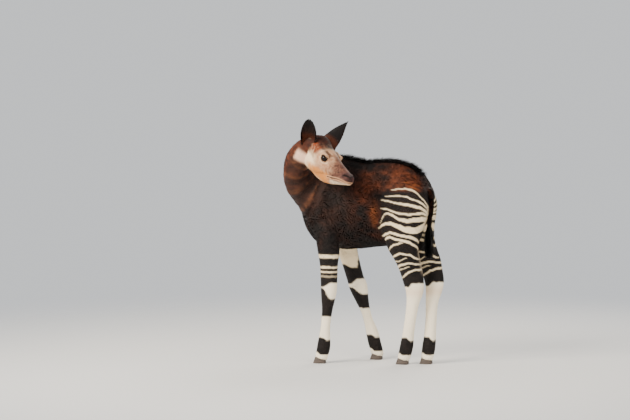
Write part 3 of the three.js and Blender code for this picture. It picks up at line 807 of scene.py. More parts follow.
# Cream stripes of the haunch: (distance rearward, height) along each, and half its width in front and behind
STRIPES = [
    ([(120, 913), (160, 920), (197, 922), (234, 914), (269, 893), (310, 862), (350, 827)], 3.0, 5.0),
    ([(92, 880), (130, 884), (173, 884), (215, 878), (248, 866), (300, 845), (346, 815)], 2.5, 5.0),
    ([(72, 862), (119, 853), (175, 845), (230, 837), (286, 824), (345, 795)], 3.5, 8.0),
    ([(70, 818), (98, 816), (120, 808), (166, 796), (220, 790), (293, 797), (345, 782)], 4.0, 6.0),
    ([(64, 742), (74, 768), (88, 789), (105, 792), (132, 784), (167, 766), (215, 757), (290, 767),
      (345, 762)], 4.5, 12.0),
    ([(52, 712), (66, 728), (90, 740), (122, 742), (162, 729), (205, 713), (250, 706), (302, 722),
      (345, 738)], 6.0, 19.0),
    ([(66, 672), (90, 684), (121, 696), (150, 690), (179, 682), (234, 672), (268, 655),
      (300, 622)], 5.0, 7.5),
    ([(76, 652), (96, 666), (116, 672), (178, 656), (225, 646), (258, 622), (284, 584)], 5.5, 7.0),
    ([(100, 596), (116, 616), (143, 632), (180, 642)], 4.0, 4.0),
    ([(114, 558), (140, 574), (173, 588), (223, 579), (252, 556)], 4.5, 5.5),
    ([(124, 540), (160, 546), (196, 562)], 2.5, 2.0),
    ([(130, 506), (160, 524), (207, 536), (262, 528)], 7.0, 4.0),
    ([(140, 494), (181, 508), (206, 517)], 3.0, 2.0),
    ([(154, 455), (176, 470), (199, 484), (235, 500), (266, 503)], 4.5, 4.5),
]

# Bands of the fore legs, as heights: rings of the forearm with their strength, lower and upper edge of the
# white wedge at the knee with how far each moves toward the back, and the white of the cannon
FORE_BANDS = {
    "fore_left": {
        "rings": [(552, 571, 1.0), (499, 510, 0.9), (476, 485, 0.9), (452, 462, 0.35)],
        "wedge": [(396, -58), (400, 24)],
        "cannon": (137, 247),
        "inner_face_shown": False,
    },
    "fore_right": {
        "rings": [(552, 571, 0.5)],
        "wedge": [(384, -34), (402, 28)],
        "cannon": (134, 274),
        "inner_face_shown": True,
    },
}


def leg_axis(name, z):
    """The middle of a leg at height z."""
    stations = np.array(LEGS[name]["stations"], float)[::-1]
    return np.interp(z, stations[:, 2], stations[:, 0]), np.interp(z, stations[:, 2], stations[:, 1])


def stripes_amount(points, hand):
    """How far each point of a haunch lies in a cream stripe, 0 to 1."""
    x, y, z = points.T
    left_axis = leg_axis("hind_left", z)[0]
    own_axis = np.where(hand > 0, leg_axis("hind_right", z)[0], left_axis)
    x = x + (left_axis - own_axis)
    beside = np.abs(y - spine_y(x))
    wrap = np.maximum(0, 95 - beside) * 0.9 * smoothstep(x, 225, 280) * smoothstep(z, 560, 640)
    s = x + wrap + 3 * noise(points, 26, 3)
    height = z + 2.2 * noise(points, 24, 5) + 0.8 * noise(points, 7, 6)
    amount = np.zeros(len(points))
    for stripe, front_width, rear_width in STRIPES:
        line = np.array(stripe, float)
        middle = np.interp(s, line[:, 0], line[:, 1])
        first, last = line[0, 0], line[-1, 0]
        ends = smoothstep(s, first - 8, first + 18) * smoothstep(s, last + 8, last - 8)
        edge = mix(front_width, rear_width, smoothstep(s, first, last - 30)) * (0.4 + 0.6 * ends)
        across = smoothstep(np.abs(height - middle), edge + STRIPE_SOFTNESS, edge - STRIPE_SOFTNESS)
        amount = np.maximum(amount, across * (ends > 0.02))
    rear_edge = within(s, 338, 354, 5) * within(z, 600, 830, 12)
    return np.maximum(amount, 0.85 * rear_edge)


def painted(base, *layers):
    """Colours laid over base in turn, each given with its amount from 0 to 1."""
    for colour, amount in layers:
        base = base + (colour - base) * amount[:, None]
    return base


def trunk_colour(p):
    x, y, z = p.T
    broad = noise(p, 90, 1)
    fine = noise(p, 30, 2)
    mottle = broad + 0.5 * fine
    beside = np.abs(y - spine_y(x))
    flank = smoothstep(x + 50 * broad, -150, 10) * smoothstep(z, 600, 700)
    croup = smoothstep(x + 30 * broad, -20, 90) * smoothstep(z, 860, 950)
    patch = within(x + 8 * fine, 20, 44, 16) * within(z, 725, 850, 34) * smoothstep(beside, 50, 90)
    top = smoothstep(beside, 40, 12) * smoothstep(z, 900, 960) * smoothstep(x, 150, -40)
    haunch_ground = smoothstep(x, 52, 78) * smoothstep(z, 918, 896)
    dock = smoothstep(x, 235, 275) * smoothstep(beside, 62, 34)
    rearward = np.maximum(x - 190, 0)
    wavy = z + 2.5 * noise(p, 24, 4) + 0.16 * rearward + 0.0016 * rearward**2
    faint = np.maximum(within(wavy, 936, 940, 2.5) * within(x, 165, 262, 12),
                       within(wavy, 952, 956, 2.5) * within(x, 190, 262, 12))
    hand = np.where(y > spine_y(x), 1, -1)
    stripe = painted(CREAM, (ORANGE_BROWN, 0.2 * smoothstep(z, 860, 930)))
    return painted(
        BLACK,
        (DARK_BROWN, smoothstep(mottle, -0.5, 0.9)),
        (RED_BROWN, 0.62 * flank * smoothstep(mottle, -0.7, 0.7)),
        (RED_BROWN, 0.7 * croup * smoothstep(fine, -1.4, 0.5)),
        (ORANGE_BROWN, 0.4 * patch),
        (BLACK, 0.8 * top),
        (BLACK, 0.95 * haunch_ground),
        (BLACK, 0.7 * dock),
        (ORANGE_BROWN, 0.9 * faint),
        (stripe, stripes_amount(p, hand) * smoothstep(x, 40, 60)),
    )


def hind_colour(p, name):
    x, y, z = p.T
    hand = LEGS[name]["hand"]
    axis_x, axis_y = leg_axis(name, z)
    rearward = x - axis_x
    n = noise(p, 12, 7)
    gaskin = smoothstep(rearward, 6, 26) * smoothstep(-hand * (y - axis_y), -18, 6) * within(z, 480, 610, 22)
    white_top = 428 - 22 * smoothstep(rearward, 6, -24) + 3 * n
    white_end = 142 - 16 * smoothstep(rearward, 0, 24) + 3 * n
    pastern_top = 50 + 8 * smoothstep(rearward, 6, -24)
    return painted(
        trunk_colour(p),
        (GREY, 0.7 * gaskin * (hand < 0)),
        (BLACK, smoothstep(z, 452, 440)),
        (WHITE, within(z, white_end, white_top, 4)),
        (TAN, 0.2 * within(z, 360, 400, 20) * smoothstep(z, white_top - 2, white_top - 12)),
        (WHITE, within(z + 2 * n, 20, pastern_top, 2.5)),
    )


def fore_colour(p, name):
    x, y, z = p.T
    axis_x, axis_y = leg_axis(name, z)
    bands = FORE_BANDS[name]
    front = axis_x - x
    behind = smoothstep(front, 26, -26)
    n = noise(p, 12, 8)
    h = z + 2.5 * n
    layers = [(BLACK, smoothstep(z, 640, 560))]
    if bands["inner_face_shown"]:
        lower_edge = 492 + 14 * smoothstep(front, -10, 26) + 5 * n
        inner = smoothstep(axis_y - y, -14, 6) * smoothstep(h, lower_edge - 5, lower_edge + 5)
        inner *= smoothstep(h, 640, 600) * smoothstep(-front + 4 * n - 0.25 * (z - 500), 44, 34)
        layers.append((CREAM, inner))
    layers += [(CREAM, strength * within(h, low, high, 2.5)) for low, high, strength in bands["rings"]]
    wedge_low, wedge_high = (height + spread * behind for height, spread in bands["wedge"])
    # painted shade in two creases across the knee, strongest in front
    crease_shade = within(h, 386, 389, 2) + within(h, 372, 374, 2)
    cannon_low, cannon_high = bands["cannon"]
    cannon = within(h, cannon_low - 12 * smoothstep(front, 0, -24), cannon_high, 4)
    strip = smoothstep(front, 15, 21) * smoothstep(np.abs(y - axis_y), 12, 7) * cannon
    return painted(
        trunk_colour(p),
        *layers,
        (WHITE, within(h, wedge_low, wedge_high, 4)),
        (DARK_BROWN, 0.5 * crease_shade * smoothstep(front, -10, 20)),
        (WHITE, cannon),
        (BLACK, 0.85 * strip),
        (WHITE, within(h, 20, 48 + 12 * smoothstep(front, 0, 20), 2.5)),
    )


def neck_colour(p):
    broad = noise(p, 60, 9)
    fine = noise(p, 18, 10)
    place, off, _ = neck_place(p)
    along, left, up = head_local(p).T
    folds = neck_folds(p)
    red = smoothstep(place + 0.8 * broad, 6.5, 11.5)
    dorsal = unit(off) @ unit([-0.8, 0.35, 0.5])
    crown = smoothstep(up, -60, -38) * smoothstep(along, -60, -24)
    patch = smoothstep(along + 5 * fine, -28, -16) * within(up, -132, -82, 12) * smoothstep(left, 0, -30)
    under = smoothstep(up, -122, -142) * smoothstep(along, -60, -20)
    return painted(
        BLACK,
        (DARK_BROWN, smoothstep(broad + 0.4 * fine, -0.6, 0.6)),
        (RED_BROWN, red * smoothstep(fine, -1.6, 0.2)),
        (DARK_BROWN, 0.9 * smoothstep(dorsal + 0.08 * fine, 0.82, 0.97) * smoothstep(place, 4, 9)),
        # painted shade in the troughs of the neck's folds and painted highlight on their ridges
        (BLACK, 0.6 * smoothstep(folds, -0.3, -0.9)),
        (PAINTED_FOLD_HIGHLIGHT, 0.75 * smoothstep(folds + 0.2 * fine, 0.4, 0.95) * smoothstep(place, 3, 6)),
        (FOREHEAD, 0.85 * crown),
        (NECK_PATCH, 0.95 * patch),
        (DARK_BROWN, 0.8 * under),
    )


def eye_layers(p, n):
    """Pale hair round each eye and the dark edge of its lids."""
    layers = []
    for name, centre in EYES.items():
        corner, lid_up, out = eye_frame(name)
        off = p - centre
        away = np.hypot((off @ corner) / 1.25, off @ lid_up)
        facing = off @ out > 0
        pale = mix(0.1, 0.5, smoothstep(off @ lid_up, 6, -6))
        layers.append((CHEEK, pale * within(away + 3 * n, 20, 26, 4) * facing))
        layers.append((EYE_RIM, smoothstep(away, 18.5, 15) * facing))
    return layers


def mouth_layers(p, mirrored):
    """Lips, and the dark inside of the mouth's line and of the nostrils: dark skin, painted darker still as
    painted shade in these recesses.
    """
    lips = np.zeros(len(p))
    deep = np.zeros(len(p))
    close = near_opening(p, 30)
    if close.any():
        mouth = tube_distance(mirrored[close], MOUTH, 1)
        slit = np.minimum(mouth, tube_distance(mirrored[close], NOSTRIL, [1.5, 3.2, 2.4]))
        lips[close] = smoothstep(mouth * HEAD_SCALE, 9, 5)
        # dark skin with painted shade in the mouth's line and the nostrils
        deep[close] = smoothstep(slit * HEAD_SCALE, 2.6, 0.8)
    return [(LIP, 0.7 * lips), (MOUTH_DARK, deep)]


def head_colour(p):
    along, left, up = head_local(p).T
    side = np.abs(left)
    n = noise(p, 14, 11) * 0.6 + noise(p, 6, 12) * 0.4
    broad = noise(p, 34, 13)
    streaks = noise(p * [1.0, 1.0, 0.35], 5, 14)

    def ragged(middle, spread, hair=streaks):
        return np.clip(middle + spread * hair, 0, 1)

    temple = within(along, 8, 84, 18) * smoothstep(up + 10 * broad, -78, -56)
    jaw_line = smoothstep(up - 0.12 * (along - 90) - 6 * n, -84, -104) * smoothstep(along, 225, 180)
    throat = smoothstep(up, -128, -146) * smoothstep(along, 100, 40)
    rust = within(along + 7 * streaks, 22, 92, 16) * within(up + 4 * streaks, -42, 4, 10)
    crown = smoothstep(side + 6 * streaks, 46, 32) * smoothstep(up, -46, -26)
    crown *= smoothstep(along + 8 * n, 122, 86)
    ear_roots = [
        smoothstep(np.linalg.norm(p - ear["root"], axis=1) + 4 * n, 42, 30) for ear in EARS.values()
    ]
    bridge = smoothstep(side + 3 * n, 20, 8) * smoothstep(up, -40, -24) * smoothstep(along, 120, 170)
    line = np.abs(side - 25 + 0.12 * (along - 140) + 4 * streaks)
    brow_line = within(along, 108, 152, 9) * smoothstep(line, 11, 5) * smoothstep(up, -38, -28)
    nose = smoothstep(along + 4 * n, 246, 284) * smoothstep(up, -56, -38)
    chin = smoothstep(along, 196, 224) * smoothstep(up - 0.42 * (along - 250), -74, -84)
    return painted(
        CHEEK,
        (MID_FACE, ragged(0.85, 0.3, n) * smoothstep(along + 16 * broad, 62, 118)),
        (TEMPLE, ragged(0.75, 0.35) * temple),
        (TAN, (0.85 + 0.15 * streaks) * jaw_line * smoothstep(along, 34, 74)),
        (CHEEK, 0.5 * smoothstep(up, -132, -142) * smoothstep(along, 80, 110)),
        (DARK_BROWN, 0.8 * throat),
        (RUST, ragged(0.85, 0.35) * rust),
        (FOREHEAD, ragged(0.9, 0.25) * crown),
        (FOREHEAD, 0.9 * smoothstep(along, 34, 16) * smoothstep(up, -56, -34)),
        *[(FOREHEAD, 0.95 * root) for root in ear_roots],
        (MUZZLE, 0.6 * bridge),
        (FOREHEAD, 0.8 * brow_line),
        (MUZZLE, ragged(0.95, 0.25) * smoothstep(along + 14 * n + 0.35 * (up + 50), 150, 225)),
        (NOSE, 0.9 * nose),
        (CHEEK, ragged(0.65, 0.3) * chin),
        *mouth_layers(p, np.stack([along, side, up], -1)),
        *eye_layers(p, n),
    )


def ear_colour(place):
    t, column, inner = place.T
    return painted(
        BLACK,
        (RED_BROWN, 0.7 * smoothstep(t, 0.34, 0.14) * (1 - inner)),
        (DARK_BROWN, 0.6 * inner * smoothstep(t, 0.85, 0.5)),
        (RED_BROWN, 0.75 * smoothstep(t, 0.5, 0.2) * inner),
        (FOREHEAD, 0.4 * smoothstep(np.abs(column), 0.8, 1.0) * smoothstep(t, 0.9, 0.6)),
    )


def tail_colour(p):
    z = p[:, 2]
    return painted(DARK_BROWN, (RED_BROWN, 0.5 * smoothstep(z, 760, 880)), (BLACK, smoothstep(z, 740, 690)))


CLUMP_CONTRAST = 0.6


def colours_at(points, labels, place=None):
    """Colour of the coat at each point; an ear's points need their place on it."""
    out = np.zeros((len(points), 3))
    makers = {TRUNK: trunk_colour, NECK: neck_colour, HEAD: head_colour, TAIL: tail_colour}
    for name, label in LEG_LABELS.items():
        makers[label] = partial(hind_colour if name.startswith("hind") else fore_colour, name=name)
    for label, maker in makers.items():
        chosen = labels == label
        if chosen.any():
            out[chosen] = in_chunks(maker, points[chosen])
    dark = smoothstep(out.mean(1), 0.12, 0.05)
    clumps = noise(points * [0.45, 1, 1], 8, 21) + 0.8 * noise(points * [0.6, 1, 1], 22, 22)
    out *= np.maximum(1 + dark * CLUMP_CONTRAST * clumps, 0.1)[:, None]
    ears = (labels == EAR_LEFT) | (labels == EAR_RIGHT)
    if ears.any():
        out[ears] = ear_colour(place[ears])
    return out


def labels_at(points):
    """The part of the body that each point belongs to: labels follow the order of PARTS, then the tail."""
    depth = [lobes_distance(points, lobes) for lobes in [*PARTS.values(), [(tail_core, 10)]]]
    depth[TAIL] = depth[TAIL] - 4
    return np.argmin(np.stack(depth), axis=0)


# Materials
def new_material(name, sockets):
    """A material and its shader, with values on the shader's own sockets."""
    material = bpy.data.materials.new(name)
    material.use_nodes = True
    shader = material.node_tree.nodes["Principled BSDF"]
    for socket, value in sockets.items():
        shader.inputs[socket].default_value = value
    return material, shader


def add_node(material, kind, sockets=None, **settings):
    """A new node of a material, with values on its sockets and its own settings."""
    node = material.node_tree.nodes.new("ShaderNode" + kind)
    for socket, value in (sockets or {}).items():
        node.inputs[socket].default_value = value
    for setting, value in settings.items():
        setattr(node, setting, value)
    return node


def wire(source, output, target, socket):
    source.id_data.links.new(source.outputs[output], target.inputs[socket])


def coat_material(name, roughness, sheen, bump, shade=1.0):
    """Hair that takes its colour from the mesh; bump stands for the finest hair."""
    material, shader = new_material(name, {
        "Roughness": roughness, "Sheen Weight": sheen, "Sheen Roughness": 0.45, "Specular IOR Level": 0.18,
    })
    colour = add_node(material, "Attribute", attribute_name="coat")
    grain = add_node(material, "TexNoise", {"Scale": 420, "Detail": 3})
    # shade below 1 darkens the whole colour: painted shade
    spread = add_node(material, "MapRange", {"To Min": 0.8 * shade, "To Max": 1.2 * shade})
    tint = add_node(material, "VectorMath", operation="SCALE")
    wire(grain, "Fac", spread, "Value")
    wire(colour, "Color", tint, 0)
    wire(spread, "Result", tint, "Scale")
    wire(tint, "Vector", shader, "Base Color")
    if bump:
        height = add_node(material, "Bump", {"Strength": bump, "Distance": 0.001})
        wire(grain, "Fac", height, "Height")
        wire(height, "Normal", shader, "Normal")
    return material


def eye_material():
    """The wet surface of an eye, in the colours of its mesh."""
    material, shader = new_material("wet eye", {"Roughness": 0.1, "Specular IOR Level": 0.16})
    wire(add_node(material, "Attribute", attribute_name="coat"), "Color", shader, "Base Color")
    return material


def horn_material():
    """Grey-brown horn with rings that run round the hoof."""
    material, shader = new_material("hoof horn", {"Roughness": 0.5})
    place = add_node(material, "TexCoord")
    rings = add_node(material, "TexWave", {"Scale": 42, "Distortion": 3, "Detail": 3}, bands_direction="Z")
    shades = add_node(material, "ValToRGB")
    for element, colour in zip(shades.color_ramp.elements, (HORN_DARK, HORN_LIGHT)):
        element.color = (*colour, 1)
    height = add_node(material, "Bump", {"Strength": 0.35, "Distance": 0.0008})
    wire(place, "Object", rings, "Vector")
    wire(rings, "Fac", shades, "Fac")
    wire(shades, "Color", shader, "Base Color")
    wire(rings, "Fac", height, "Height")
    wire(height, "Normal", shader, "Normal")
    return material


# Making objects
def in_scene(name, data):
    made = bpy.data.objects.new(name, data)
    bpy.context.scene.collection.objects.link(made)
    return made


def store_colours(mesh, rgba):
    layer = mesh.color_attributes.new("coat", "FLOAT_COLOR", "POINT")
    layer.data.foreach_set("color", rgba.ravel())


def make_object(name, vertices, faces, colours, material):
    """An object from points in the animal's frame, in mm, coloured at its corners."""
    mesh = bpy.data.meshes.new(name)
    mesh.from_pydata(((vertices + OFFSET) * MM).tolist(), [], faces)
    mesh.validate()
    mesh.shade_smooth()
    rgba = np.ones((len(vertices), 4))
    rgba[:, :3] = colours
    store_colours(mesh, rgba)
    mesh.materials.append(material)
    return in_scene(name, mesh)


PATCH = 0.003  # size of a tuft's own patch on the unwrap
PATCH_MARGIN = 0.004
SINK = 1.4  # mm from a tuft's root to the skin above it
OWN_NORMAL = 0.3  # share of a tuft's own shape in its shading
LOOSE_SHARE = 0.05  # tufts that stand out from the others
LOOSE_LIFT = 0.3
TURN_SPREAD = 0.13
LIFT_SPREAD = 0.06
ROOT_SHADE = 0.8  # a tuft is darker at its root: painted shade where the other hairs cover it
STRAIGHT_FACES = np.array([[0, 1, 2], [1, 0, 3], [2, 1, 3], [0, 2, 3]])
BENT_FACES = np.array([[0, 1, 2], [1, 0, 3], [1, 3, 4], [2, 1, 4], [2, 4, 5], [0, 2, 5], [0, 5, 3],
                       [4, 3, 6], [5, 4, 6], [3, 5, 6]])


def dot(a, b):
    """Products of the vectors in a and b, row by row."""
    return np.einsum("ij,ij->i", a, b)


def tuft_mesh(name, points, faces):
    """A mesh of one solid for each row of points, and the corners of all its triangles."""
    count, corners = points.shape[:2]
    every = (faces[None] + corners * np.arange(count)[:, None, None]).reshape(-1, 3)
    flat = points.reshape(-1, 3)
    mesh = bpy.data.meshes.new(name)
    mesh.vertices.add(len(flat))
    mesh.vertices.foreach_set("co", ((flat + OFFSET) * MM).ravel())
    mesh.loops.add(every.size)
    mesh.loops.foreach_set("vertex_index", every.ravel())
    mesh.polygons.add(len(every))
    mesh.polygons.foreach_set("loop_start", np.arange(0, every.size, 3))
    mesh.polygons.foreach_set("loop_total", np.full(len(every), 3))
    mesh.update(calc_edges=True)
    mesh.shade_smooth()
    return mesh, every.ravel()


def make_tufts(name, roots, normals, lie, colours, length, width, lift, uv, bend=0.0):
    """Solid spikes that lie along the coat; with bend they have a joint half way.

    roots, normals, lie: rows of vectors; lift: angle of the hair out of the skin, in radians.
    """
    count = len(roots)
    normals = unit(normals)
    lie = unit(lie - dot(lie, normals)[:, None] * normals)
    side = np.cross(normals, lie)
    turn = rng.normal(0, TURN_SPREAD, count)[:, None]
    lie = unit(lie + side * turn)
    side = np.cross(normals, lie)
    length = (length * rng.uniform(0.72, 1.2, count))[:, None]
    width = (width * rng.uniform(0.75, 1.25, count))[:, None]
    loose = rng.random(count) < LOOSE_SHARE
    lift = (lift + rng.normal(0, LIFT_SPREAD, count) + LOOSE_LIFT * loose)[:, None]
    start = lie * np.cos(lift) + normals * np.sin(lift)
    base = roots - SINK * normals
    ring = [base - side * width / 2, base + side * width / 2,
            base + normals * width * 0.45 - lie * width * 0.2]
    own = [-side, side, normals * 0.8]
    if bend:
        end = lie * np.cos(lift - bend) + normals * np.sin(lift - bend)
        middle = base + start * length * 0.5
        upper = [middle - side * width * 0.42, middle + side * width * 0.42, middle + normals * width * 0.36]
        points = np.stack([*ring, *upper, middle + end * length * 0.5], 1)
        own += [-side, side, normals]
        mesh, every = tuft_mesh(name, points, BENT_FACES)
    else:
        points = np.stack([*ring, base + start * length], 1)
        mesh, every = tuft_mesh(name, points, STRAIGHT_FACES)
    corners = points.shape[1]
    shade = rng.uniform(0.82, 1.16, count)[:, None] * np.ones((1, 3))
    rgba = np.ones((count, corners, 4))
    rgba[:, :, :3] = (colours * shade)[:, None]
    # painted shade at the root of each tuft
    rgba[:, :3, :3] *= ROOT_SHADE
    store_colours(mesh, rgba)
    across = np.linspace(-0.5, 0.5, corners)
    patch = uv[:, None] + PATCH * np.stack([across, np.cos(np.pi * across) - 0.5], -1)[None]
    mesh.uv_layers.new(name="OFBake").data.foreach_set("uv", patch.reshape(-1, 2)[every].ravel())
    blended = unit(np.stack([*own, normals + lie * 0.2], 1) * OWN_NORMAL + normals[:, None])
    mesh.normals_split_custom_set_from_vertices(blended.reshape(-1, 3))
    mesh.materials.append(short_hair)
    piece = in_scene(name, mesh)
    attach(piece, "root")


# Lie of the coat
def lie_at(points, labels):
    """Direction in which the hair lies, not yet laid onto the skin."""
    x, _, z = points.T
    down = np.array([0, 0, -1.0])
    rear = smoothstep(x, 20, 80)
    low = smoothstep(z, mix(860, 660, rear), mix(620, 500, rear))[:, None]
    out = unit(np.array([1.0, 0, -0.28]) * (1 - low) + (down + [0.35, 0, 0]) * low)
    in_neck = labels == NECK
    if in_neck.any():
        _, _, index = neck_place(points[in_neck])
        out[in_neck] = unit(-neck_tangents[index] + np.array([0.15, 0, -0.4]))
    in_head = labels == HEAD
    if in_head.any():
        local = head_local(points[in_head])
        fan = np.stack([-np.ones(len(local)), np.sign(local[:, 1]) * 0.35, -0.3 * np.ones(len(local))], -1)
        out[in_head] = unit(fan @ HEAD_FRAME)
    legs = (labels >= FORE_LEFT) & (labels <= HIND_RIGHT)
    straight = (legs * smoothstep(z, 600, 500))[:, None]
    out = unit(mix(out, down + np.array([0.12, 0, 0]), straight))
    out[labels == TAIL] = down
    return out


def bake_place(points, labels):
    """Place of each point on an unwrap of its part round the part's own axis."""
    x, y, z = points.T
    turn = np.arctan2(y - spine_y(x), z - 800)
    along = (x + 420) / 760
    for name, label in LEG_LABELS.items():
        axis_x, axis_y = leg_axis(name, z)
        chosen = labels == label
        turn = np.where(chosen, np.arctan2(y - axis_y, x - axis_x), turn)
        along = np.where(chosen, z / 780, along)
    chosen = labels == NECK
    if chosen.any():
        step, off, index = neck_place(points[chosen])
        tangent = neck_tangents[index]
        level = unit(np.cross(tangent, [0, 0, 1.0]))
        top = np.cross(level, tangent)
        turn[chosen] = np.arctan2(dot(off, level), dot(off, top))
        along[chosen] = (step + 2) / (len(neck.path) + 4)
    forward, left, up = head_local(points).T
    turn = np.where(labels == HEAD, np.arctan2(left, up + 70), turn)
    along = np.where(labels == HEAD, (forward + 40) / 400, along)
    turn = np.where(labels == TAIL, np.arctan2(y + 30, x - 312), turn)
    along = np.where(labels == TAIL, (z - 540) / 400, along)
    return in_patch_margin(turn / (2 * np.pi) + 0.5, along)


def in_patch_margin(u, v):
    """Places on the unwrap, kept clear of its edge."""
    return np.clip(np.stack([u, v], -1), PATCH_MARGIN, 1 - PATCH_MARGIN)


def read(collection, attribute, kind=float):
    """The vectors of three that a mesh stores."""
    values = np.empty(len(collection) * 3, kind)
    collection.foreach_get(attribute, values)
    return values.reshape(-1, 3)


class Surface:
    """Triangles of the skin from which roots are drawn."""

    def __init__(self, piece, labels):
        mesh = piece.data
        mesh.calc_loop_triangles()
        self.points = read(mesh.vertices, "co") / MM - OFFSET
        self.normals = read(mesh.vertices, "normal")
        self.triangles = read(mesh.loop_triangles, "vertices", int)
        a, b, c = (self.points[self.triangles[:, i]] for i in range(3))
        self.area = np.linalg.norm(np.cross(b - a, c - a), axis=1) / 2
        self.labels = labels[self.triangles[:, 0]]
        self.centres = (a + b + c) / 3

    def draw(self, count, chosen):
        """Random roots on the chosen triangles, the skin's normals there and their labels."""
        chance = self.area * chosen
        drawn = rng.choice(len(chance), count, p=chance / chance.sum())
        u, v = rng.random(count), rng.random(count)
        flip = u + v > 1
        u, v = np.where(flip, 1 - u, u), np.where(flip, 1 - v, v)
        share = np.stack([1 - u - v, u, v], -1)[:, :, None]
        corners = self.triangles[drawn]
        return ((self.points[corners] * share).sum(1), unit((self.normals[corners] * share).sum(1)),
                self.labels[drawn])


# The skin with its ears
vertices, faces = skin_mesh()
labels = labels_at(vertices)
place = np.zeros((len(vertices), 3))
for name, label in (("ear_left", EAR_LEFT), ("ear_right", EAR_RIGHT)):
    ear_vertices, ear_faces, ear_place = ear_mesh(name)
    faces += [[i + len(vertices) for i in face] for face in ear_faces]
    vertices = np.concatenate([vertices, ear_vertices])
    labels = np.concatenate([labels, np.full(len(ear_vertices), label)])
    place = np.concatenate([place, ear_place])
short_hair = coat_material("short hair", 0.55, 0.05, 0.0)
# the skin under the hair is a little darker: painted shade beneath the hair
undercoat = coat_material("skin under the hair", 0.7, 0.04, 0.4, 0.95)
skin = make_object("skin", vertices, faces, colours_at(vertices, labels, place), undercoat)
FLESH = [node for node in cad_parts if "claw" not in node and not node.startswith("eye")]
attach(skin, "root")
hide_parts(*FLESH)
surface = Surface(skin, labels)

# Short hair over the whole body: number of tufts on each piece, lengths and widths in mm, lift in radians
TRUNK_BANDS = {"front": (-1000, -125), "middle": (-125, 70), "rear": (70, 1000)}
TRUNK_TUFTS, NECK_TUFTS, FACE_TUFTS, LEG_TUFTS, TAIL_TUFTS = 46000, 32000, 48000, 25000, 5000
TRUNK_HAIR_WIDTH, NECK_HAIR_WIDTH, FACE_HAIR_WIDTH, LEG_HAIR_WIDTH, TAIL_HAIR_WIDTH = 1.6, 1.4, 0.8, 1.3, 1.8
TAIL_HAIR = 14.0
FORE_THIGH_HAIR = 11.0
HIND_THIGH_HAIR = 7.0
SHORT_LIFT = 0.2
TAIL_LIFT = 0.3
SHOWN_SHARE = 0.65  # a tuft has the colour of the skin this share of its length along it


def body_tufts(name, chosen, count, length, width, lift=SHORT_LIFT):
    """Short hair over the chosen triangles of the skin; length is a number or a function of the roots."""
    roots, normals, root_labels = surface.draw(count, chosen)
    lie = lie_at(roots, root_labels)
    if callable(length):
        length = length(roots)
    laid = unit(lie - dot(lie, normals)[:, None] * normals)
    shown = roots + laid * np.broadcast_to(length * SHOWN_SHARE, len(roots))[:, None]
    make_tufts(name, roots, normals, lie, colours_at(shown, root_labels), length, width, lift,
               bake_place(roots, root_labels))


def trunk_length(roots):
    return mix(11.0, 7.5, smoothstep(roots[:, 0], 40, 80) * smoothstep(roots[:, 2], 950, 920))


def neck_length(roots):
    return mix(6.0, 9.5, smoothstep(head_local(roots)[:, 0], -40, -90))


def face_length(roots):
    return mix(6.0, 3.2, smoothstep(head_local(roots)[:, 0], 20, 280))


def leg_length(roots, thigh):
    return mix(5.5, thigh, smoothstep(roots[:, 2], 500, 640))


x, y, z = surface.centres.T
is_trunk = surface.labels == TRUNK
is_neck = surface.labels == NECK
is_head = surface.labels == HEAD
bare = near_eye(surface.centres, EYE_RADIUS + 3.5) | near_opening(surface.centres, 2.0)
for band, (start, end) in TRUNK_BANDS.items():
    inside = is_trunk & (x >= start) & (x < end)
    body_tufts(f"coat_trunk_{band}", inside, TRUNK_TUFTS, trunk_length, TRUNK_HAIR_WIDTH)
body_tufts("coat_neck", is_neck, NECK_TUFTS, neck_length, NECK_HAIR_WIDTH)
body_tufts("coat_head", is_head & ~bare, FACE_TUFTS, face_length, FACE_HAIR_WIDTH)
for name, label in LEG_LABELS.items():
    length = partial(leg_length, thigh=HIND_THIGH_HAIR if name.startswith("hind") else FORE_THIGH_HAIR)
    body_tufts(f"coat_{name}", surface.labels == label, LEG_TUFTS, length, LEG_HAIR_WIDTH)
body_tufts("coat_tail", surface.labels == TAIL, TAIL_TUFTS, TAIL_HAIR, TAIL_HAIR_WIDTH, TAIL_LIFT)

# Longer hair: the fringe of the back and neck, the ears with their rims, and the tail's tuft
FRINGE_TUFTS, EAR_TUFTS, RIM_TUFTS, TAIL_TUFT_TUFTS = 5200, 14000, 1500, 2600
FRINGE_HALF_WIDTH = 26
FRINGE_WIDTH, EAR_HAIR_WIDTH, RIM_WIDTH, TAIL_TUFT_WIDTH = 1.8, 1.1, 1.0, 2.4
RIM_INSET = 2.6
TAIL_TUFT_TOP, TAIL_TUFT_ROOTS_END, TAIL_TUFT_END = 735, 606, 548
TAIL_TUFT_LIFT = 0.34


def dorsal_fringe():
    middle = np.abs(y - spine_y(x)) < FRINGE_HALF_WIDTH
    chosen = (is_trunk | is_neck) & middle & (z > 900) & (x > -330) & (x < 250)
    roots, normals, root_labels = surface.draw(FRINGE_TUFTS, chosen)
    lie = np.array([1.0, 0, 0.0]) + rng.normal(0, 0.45, (len(roots), 3))
    length = rng.uniform(16, 40, len(roots))
    lift = rng.uniform(0.45, 1.25, len(roots))
    colours = painted(colours_at(roots, root_labels), (FRINGE_BROWN, rng.uniform(0.1, 0.7, len(roots))))
    make_tufts("coat_dorsal_fringe", roots, normals, lie, colours,
               length, FRINGE_WIDTH, lift, bake_place(roots, root_labels), 0.5)


